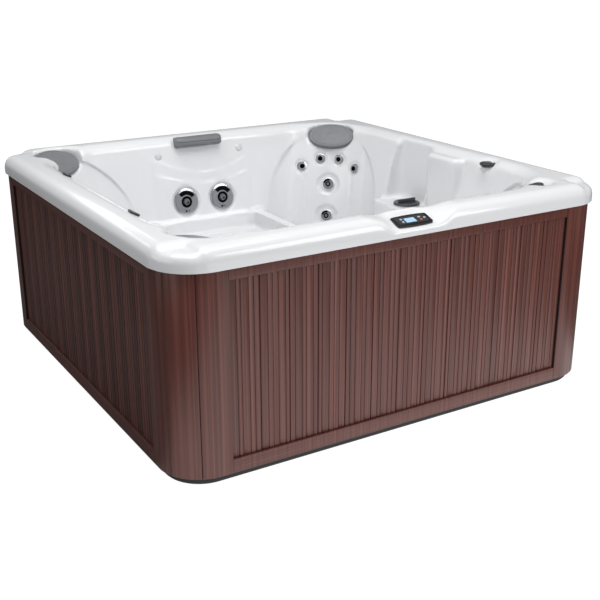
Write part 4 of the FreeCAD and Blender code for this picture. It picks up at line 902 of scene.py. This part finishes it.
lens_profile = [(0, light_height)]
for index in range(1, lens_ribs * 2):
    share = index / (lens_ribs * 2)
    crown = math.sqrt(1 - (share * crown_share) ** 2)
    lens_profile.append((light_radius * share, light_height * (crown if index % 2 else crown - rib_share)))
lens_profile += [(light_radius, light_height * 0.3), (light_radius, 0), (0, 0)]
lens_glass, tree, place = material("Ribbed polycarbonate lens")
cloud = add(tree, "TexNoise", {"Scale": 1 / lens_cloud, "Vector": place})
rough = add(tree, "MapRange", {"To Min": 0.05, "To Max": 0.15, "Value": cloud})
surface(tree, {"Base Color": linear("#dfe6ee"), "IOR": 1.58, "Transmission Weight": 0.55, "Roughness": rough})
piece("light_lens_ribs", turned(lens_profile, lens_steps), lens_glass, "tub", "light_glass", "light_lens",
      at=facing(light_place, (1, 0, 0)))

# Controls: a fluted diverter knob, and three small air levers shaped like a drop, all of dark glossy plastic
# on stems that pass the shell.
knob_radius = 0.04
knob_height = 0.012
knob_steps = 120
knob_flutes = 10
knob_flute_depth = 0.0022
knob_shares = ((0, 1), (0.35, 1), (0.55, 0.97), (0.62, 0.8), (0.7, 0.78), (0.78, 0.96), (0.9, 0.94),
               (0.97, 0.8), (1, 0.55), (1, 0.12), (0.97, 0.02), (0.9, 0), (0, 0))
fluted_share = 0.79
lever_radius = 0.021
lever_tip = 0.007
lever_reach = 0.054
lever_height = 0.009
lever_steps = 40
lever_insets = (0, 0, 0.0012, 0.003, 0.0045, 0.006)
lever_rise_shares = (0, 0.55, 0.85, 0.98, 0.9, 0.86)
tip_inset_share = 0.8
lever_turns = {"left_back_air": (0, -1, 0), "left_front_air": (0, -1, 0), "front_air": (1, 0, 0)}
control_texture = (0.0012, 0.00003)
control_black = moulded("Dark control plastic", "#2b2d30", 0.3, control_texture)
knob = turned([(knob_radius * share, knob_height * rise) for share, rise in knob_shares], knob_steps)
for vert in knob.verts:
    reach = math.hypot(vert.co.x, vert.co.y)
    if reach > knob_radius * fluted_share:
        turn = knob_flutes * math.atan2(vert.co.y, vert.co.x)
        drawn_in = 1 - knob_flute_depth * (0.5 + 0.5 * math.cos(turn)) ** 3 / reach
        vert.co.x *= drawn_in
        vert.co.y *= drawn_in
piece("diverter_knob_fluted", knob, control_black, "diverter", "control_plastic", "diverter_knob",
      at=Matrix.Translation(places["diverter"][0]))


def arc(radius, start, sweep, steps, y=0):
    """Points of an arc in plan about a centre on the Y axis."""
    turns = [start + sweep * index / steps for index in range(steps + 1)]
    return [(radius * math.cos(turn), radius * math.sin(turn) + y) for turn in turns]


def drop_outline(inset):
    """The outline of a lever seen from above: a round head drawn out to a small round tip."""
    spread = math.acos((lever_radius - lever_tip) / lever_reach)
    foot = math.radians(270)
    head = arc(lever_radius - inset, foot + spread, math.tau - 2 * spread, lever_steps)
    return head + arc(lever_tip - inset * tip_inset_share, foot - spread, 2 * spread, lever_steps // 2,
                      -lever_reach)


for body, upward in lever_turns.items():
    layers = [[(x, y, lever_height * rise) for x, y in drop_outline(inset)]
              for inset, rise in zip(lever_insets, lever_rise_shares)]
    name = body + "_lever"
    piece(name + "_drop", lofted(layers), control_black, body, "control_plastic", name,
          at=facing(*places[body], Vector(upward)))

# Control panel: a bowed bezel with a black frame and a dark grey face, a backlit display and five round
# rubber buttons. It lies in the sloping recess of the front rim.
bezel_edge = 0.0022
bezel_border = 0.0136
button_edge = 0.0009
button_texture = (0.0008, 0.00003)
amber_button = 4
display_pixel = 0.0012
display_glow = 0.03
panel_low, panel_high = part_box("panel_bezel")
bezel_plastic, tree, place = material("Two-tone bezel plastic")
apart = add(tree, "SeparateXYZ", {"Vector": place})
in_face = 1
for axis, low, high in ((0, panel_low.x, panel_high.x), (1, panel_low.y, panel_high.y)):
    centred = add(tree, "Math", {"operation": "SUBTRACT", 0: apart.outputs[axis], 1: (low + high) / 2})
    reach = add(tree, "Math", {"operation": "ABSOLUTE", 0: centred})
    within = add(tree, "Math", {"operation": "LESS_THAN", 0: reach, 1: (high - low) / 2 - bezel_border})
    in_face = add(tree, "Math", {"operation": "MULTIPLY", 0: within, 1: in_face})
tone = add(tree, "Mix", {"data_type": "RGBA", 0: in_face, 6: linear("#08090a"), 7: linear("#2d3034")})
bump = grained(tree, place, plastic_grain, 2, 0.2, plastic_grain / 10)
surface(tree, {"Roughness": 0.3, "Base Color": tone.outputs[2], "Normal": bump})
paint("panel_bezel", bezel_plastic, bezel_edge)
display, tree, place = material("Backlit display")
pixels = add(tree, "TexChecker", {"Scale": 1 / display_pixel, "Color1": linear("#7fa6c8"),
                                  "Color2": linear("#89b0d0"), "Vector": place})
glow = add(tree, "TexNoise", {"Scale": 1 / display_glow, "Vector": place})
shade = add(tree, "Mix", {"data_type": "RGBA", 0: glow, 6: pixels, 7: linear("#a9c9e2")}).outputs[2]
surface(tree, {"Roughness": 0.12, "Base Color": shade, "Emission Color": shade, "Emission Strength": 0.25})
paint("panel_display", display)
grey_rubber = moulded("Grey button rubber", "#a6a9ad", 0.5, button_texture)
amber_rubber = moulded("Amber button rubber", "#b4643a", 0.5, button_texture)
for number in range(1, 6):
    finish = amber_rubber if number == amber_button else grey_rubber
    paint("panel_button_%d" % number, finish, button_edge)

# Filter: a dark lid with an upright grip across it sits on a white canister, which holds a pleated cartridge.
lid_radius = 0.07
lid_top = 0.0166
lid_thickness = 0.012
lid_dish = 0.002
lid_edge = 0.003
lid_steps = 96
# Share of the lid's radius, and depth below its top
lid_shares = ((0, lid_dish), (0.72, lid_dish), (0.76, 0), (0.95, 0), (1, lid_edge), (1, lid_thickness),
              (0, lid_thickness))
grip_half = 0.056
grip_thick = 0.012
grip_height = 0.018
grip_sink = 0.002
grip_edge = 0.004
pleat_width = 0.004
cartridge_radius = 0.056
lid_texture = (0.0015, 0.00004)
lid_grey = moulded("Dark grey lid plastic", "#3a3d41", 0.35, lid_texture)
lid = turned([(lid_radius * share, lid_top - drop) for share, drop in lid_shares], lid_steps)
grip = bmesh.ops.create_cube(lid, size=1)["verts"]
grip_at = Matrix.Translation((0, 0, lid_top + (grip_height - grip_sink) / 2))
grip_size = Matrix.Diagonal((grip_half * 2, grip_thick, grip_height + grip_sink, 1))
bmesh.ops.transform(lid, matrix=grip_at @ grip_size, verts=grip)
grip_edges = list({edge for vert in grip for edge in vert.link_edges
                   if any(end.co.z > lid_top + grip_sink for end in edge.verts)})
bmesh.ops.bevel(lid, geom=grip_edges, offset=grip_edge, offset_type="OFFSET", affect="EDGES", segments=4,
                profile=0.5, material=-1)
lid_centre = places["filter_lid_part"][0]
piece("filter_lid_grip", lid, lid_grey, "filter_lid_part", "control_plastic", "filter_lid",
      at=Matrix.Translation(lid_centre))
canister_white = moulded("White moulded plastic", "#c8c9c8", 0.4, lid_texture)
paint("filter_canister", canister_white)

pleated, tree, place = material("Pleated polyester")
local = add(tree, "VectorMath", {"operation": "SUBTRACT", 0: place, 1: lid_centre})
apart = add(tree, "SeparateXYZ", {"Vector": local})
around = add(tree, "Math", {"operation": "ARCTAN2", 0: apart.outputs[1], 1: apart.outputs[0]})
turns = math.tau * cartridge_radius / pleat_width
pleats = add(tree, "Math", {"operation": "MULTIPLY", 0: around, 1: turns})
fold = add(tree, "Math", {"operation": "SINE", 0: pleats})
# Painted shade: the colour goes darker into each pleat's fold
tone = add(tree, "MapRange", {"From Min": -1, "To Min": 0.55, "To Max": 0.85, "Value": fold})
bump = add(tree, "Bump", {"Strength": 1, "Distance": pleat_width, "Height": fold})
surface(tree, {"Roughness": 0.9, "Base Color": tone, "Normal": bump})
paint("filter_cartridge", pleated)

# Equipment under the shell: jet pump, heater, control box, valves and pipes. All of it is hidden behind the
# panels, in coated metal, stainless steel, and black and white plastic.
equipment_edge = 0.002
pipe_texture = (0.002, 0.00004)
coat_texture = (0.001, 0.00006)
paint("plumbing", moulded("White pressure pipe", "#cfd0ce", 0.4, pipe_texture))
paint("valve_bodies", canister_white)
paint("heater", plated("Brushed stainless steel", "#b5b6b8", 0.3))
paint("jet_pump", moulded("Coated pump body", "#24262a", 0.4, coat_texture), equipment_edge)
paint("control_box", moulded("Black box plastic", "#1d1f21", 0.45, coat_texture), equipment_edge)

# Studio: a white sweep that keeps a faint shadow and shines only in front of the tub, a bright ceiling, a
# soft key at the front right, a weak fill at the left, where the photograph is dark, and a strip behind.
floor_half = 30
floor_glow = 0.97
floor_grey = (0.2, 0.2, 0.2, 1)
sky_light = 0.25
# Axis, where the sweep's shine ends, where it is full, and how strong it is there
sheen_falls = ((0, -2.3, -0.9, 1), (0, 1.6, 1.15, 1), (1, -0.75, -1.15, 1.2))
# Place, target, width, height and watts of each soft lamp
lamps = {
    "Ceiling": ((-0.7, -0.7, 4.2), (0, 0, 0.6), 3.2, 3.2, 135),
    "Key": ((2.2, -4.2, 3.0), (0, 0, 0.6), 2.2, 2.2, 80),
    "Left fill": ((-4.2, -0.5, 1.9), (-1.0, 0, 0.9), 3.0, 1.2, 24),
    "Back strip": ((-1.0, 3.4, 2.6), (0, 0, 0.7), 3.0, 0.5, 8),
}
sheet = bmesh.new()
bmesh.ops.create_grid(sheet, x_segments=1, y_segments=1, size=floor_half)
floor = put("Floor", as_mesh("Floor", sheet))
floor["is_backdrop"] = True
sweep, tree, place = material("White sweep")
apart = add(tree, "SeparateXYZ", {"Vector": place})
sheen = 1
for axis, gone, full, level in sheen_falls:
    fall = add(tree, "MapRange", {"interpolation_type": "SMOOTHSTEP", "From Min": gone, "From Max": full,
                                  "To Max": level, "Value": apart.outputs[axis]})
    sheen = add(tree, "Math", {"operation": "MULTIPLY", 0: fall, 1: sheen})
to_camera = add(tree, "LightPath", {}).outputs["Is Camera Ray"]
strength = add(tree, "Mix", {"data_type": "FLOAT", 0: to_camera, 2: sheen, 3: floor_glow})
glow = add(tree, "Emission", {"Strength": strength})
matt = add(tree, "BsdfDiffuse", {"Color": floor_grey})
add(tree, "OutputMaterial", {"Surface": add(tree, "AddShader", {0: glow, 1: matt})})
floor.data.materials.append(sweep)

world = bpy.data.worlds.new("Studio")
bpy.context.scene.world = world
world.use_nodes = True
tree = world.node_tree
tree.nodes.clear()
to_camera = add(tree, "LightPath", {}).outputs["Is Camera Ray"]
strength = add(tree, "Mix", {"data_type": "FLOAT", 0: to_camera, 2: sky_light, 3: 1})
add(tree, "OutputWorld", {"Surface": add(tree, "Background", {"Color": (1, 1, 1, 1), "Strength": strength})})
for name, (centre, target, width, height, watts) in lamps.items():
    lamp = bpy.data.lights.new(name, "AREA")
    lamp.shape = "RECTANGLE"
    lamp.size = width
    lamp.size_y = height
    lamp.energy = watts
    stand = put(name, lamp)
    stand.location = centre
    stand.rotation_euler = (Vector(target) - Vector(centre)).to_track_quat("-Z", "Y").to_euler()

# Camera, solved from the photograph's rim, cabinet and base lines
camera_place = Vector((-2.3188, -4.0096, 1.9211))
camera_target = Vector((0.1045, 0, 0.2364))
camera_roll = math.radians(-0.114)
camera_data = bpy.data.cameras.new("Camera")
camera_data.lens = 59.31
camera_data.sensor_width = 36
camera_data.clip_end = 100
camera = put("Camera", camera_data)
look = (camera_target - camera_place).to_track_quat("-Z", "Y").to_matrix().to_4x4()
camera.matrix_world = Matrix.Translation(camera_place) @ look @ Matrix.Rotation(camera_roll, 4, "Z")
bpy.context.scene.camera = camera
bpy.context.scene.view_settings.view_transform = "Standard"

low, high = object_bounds()
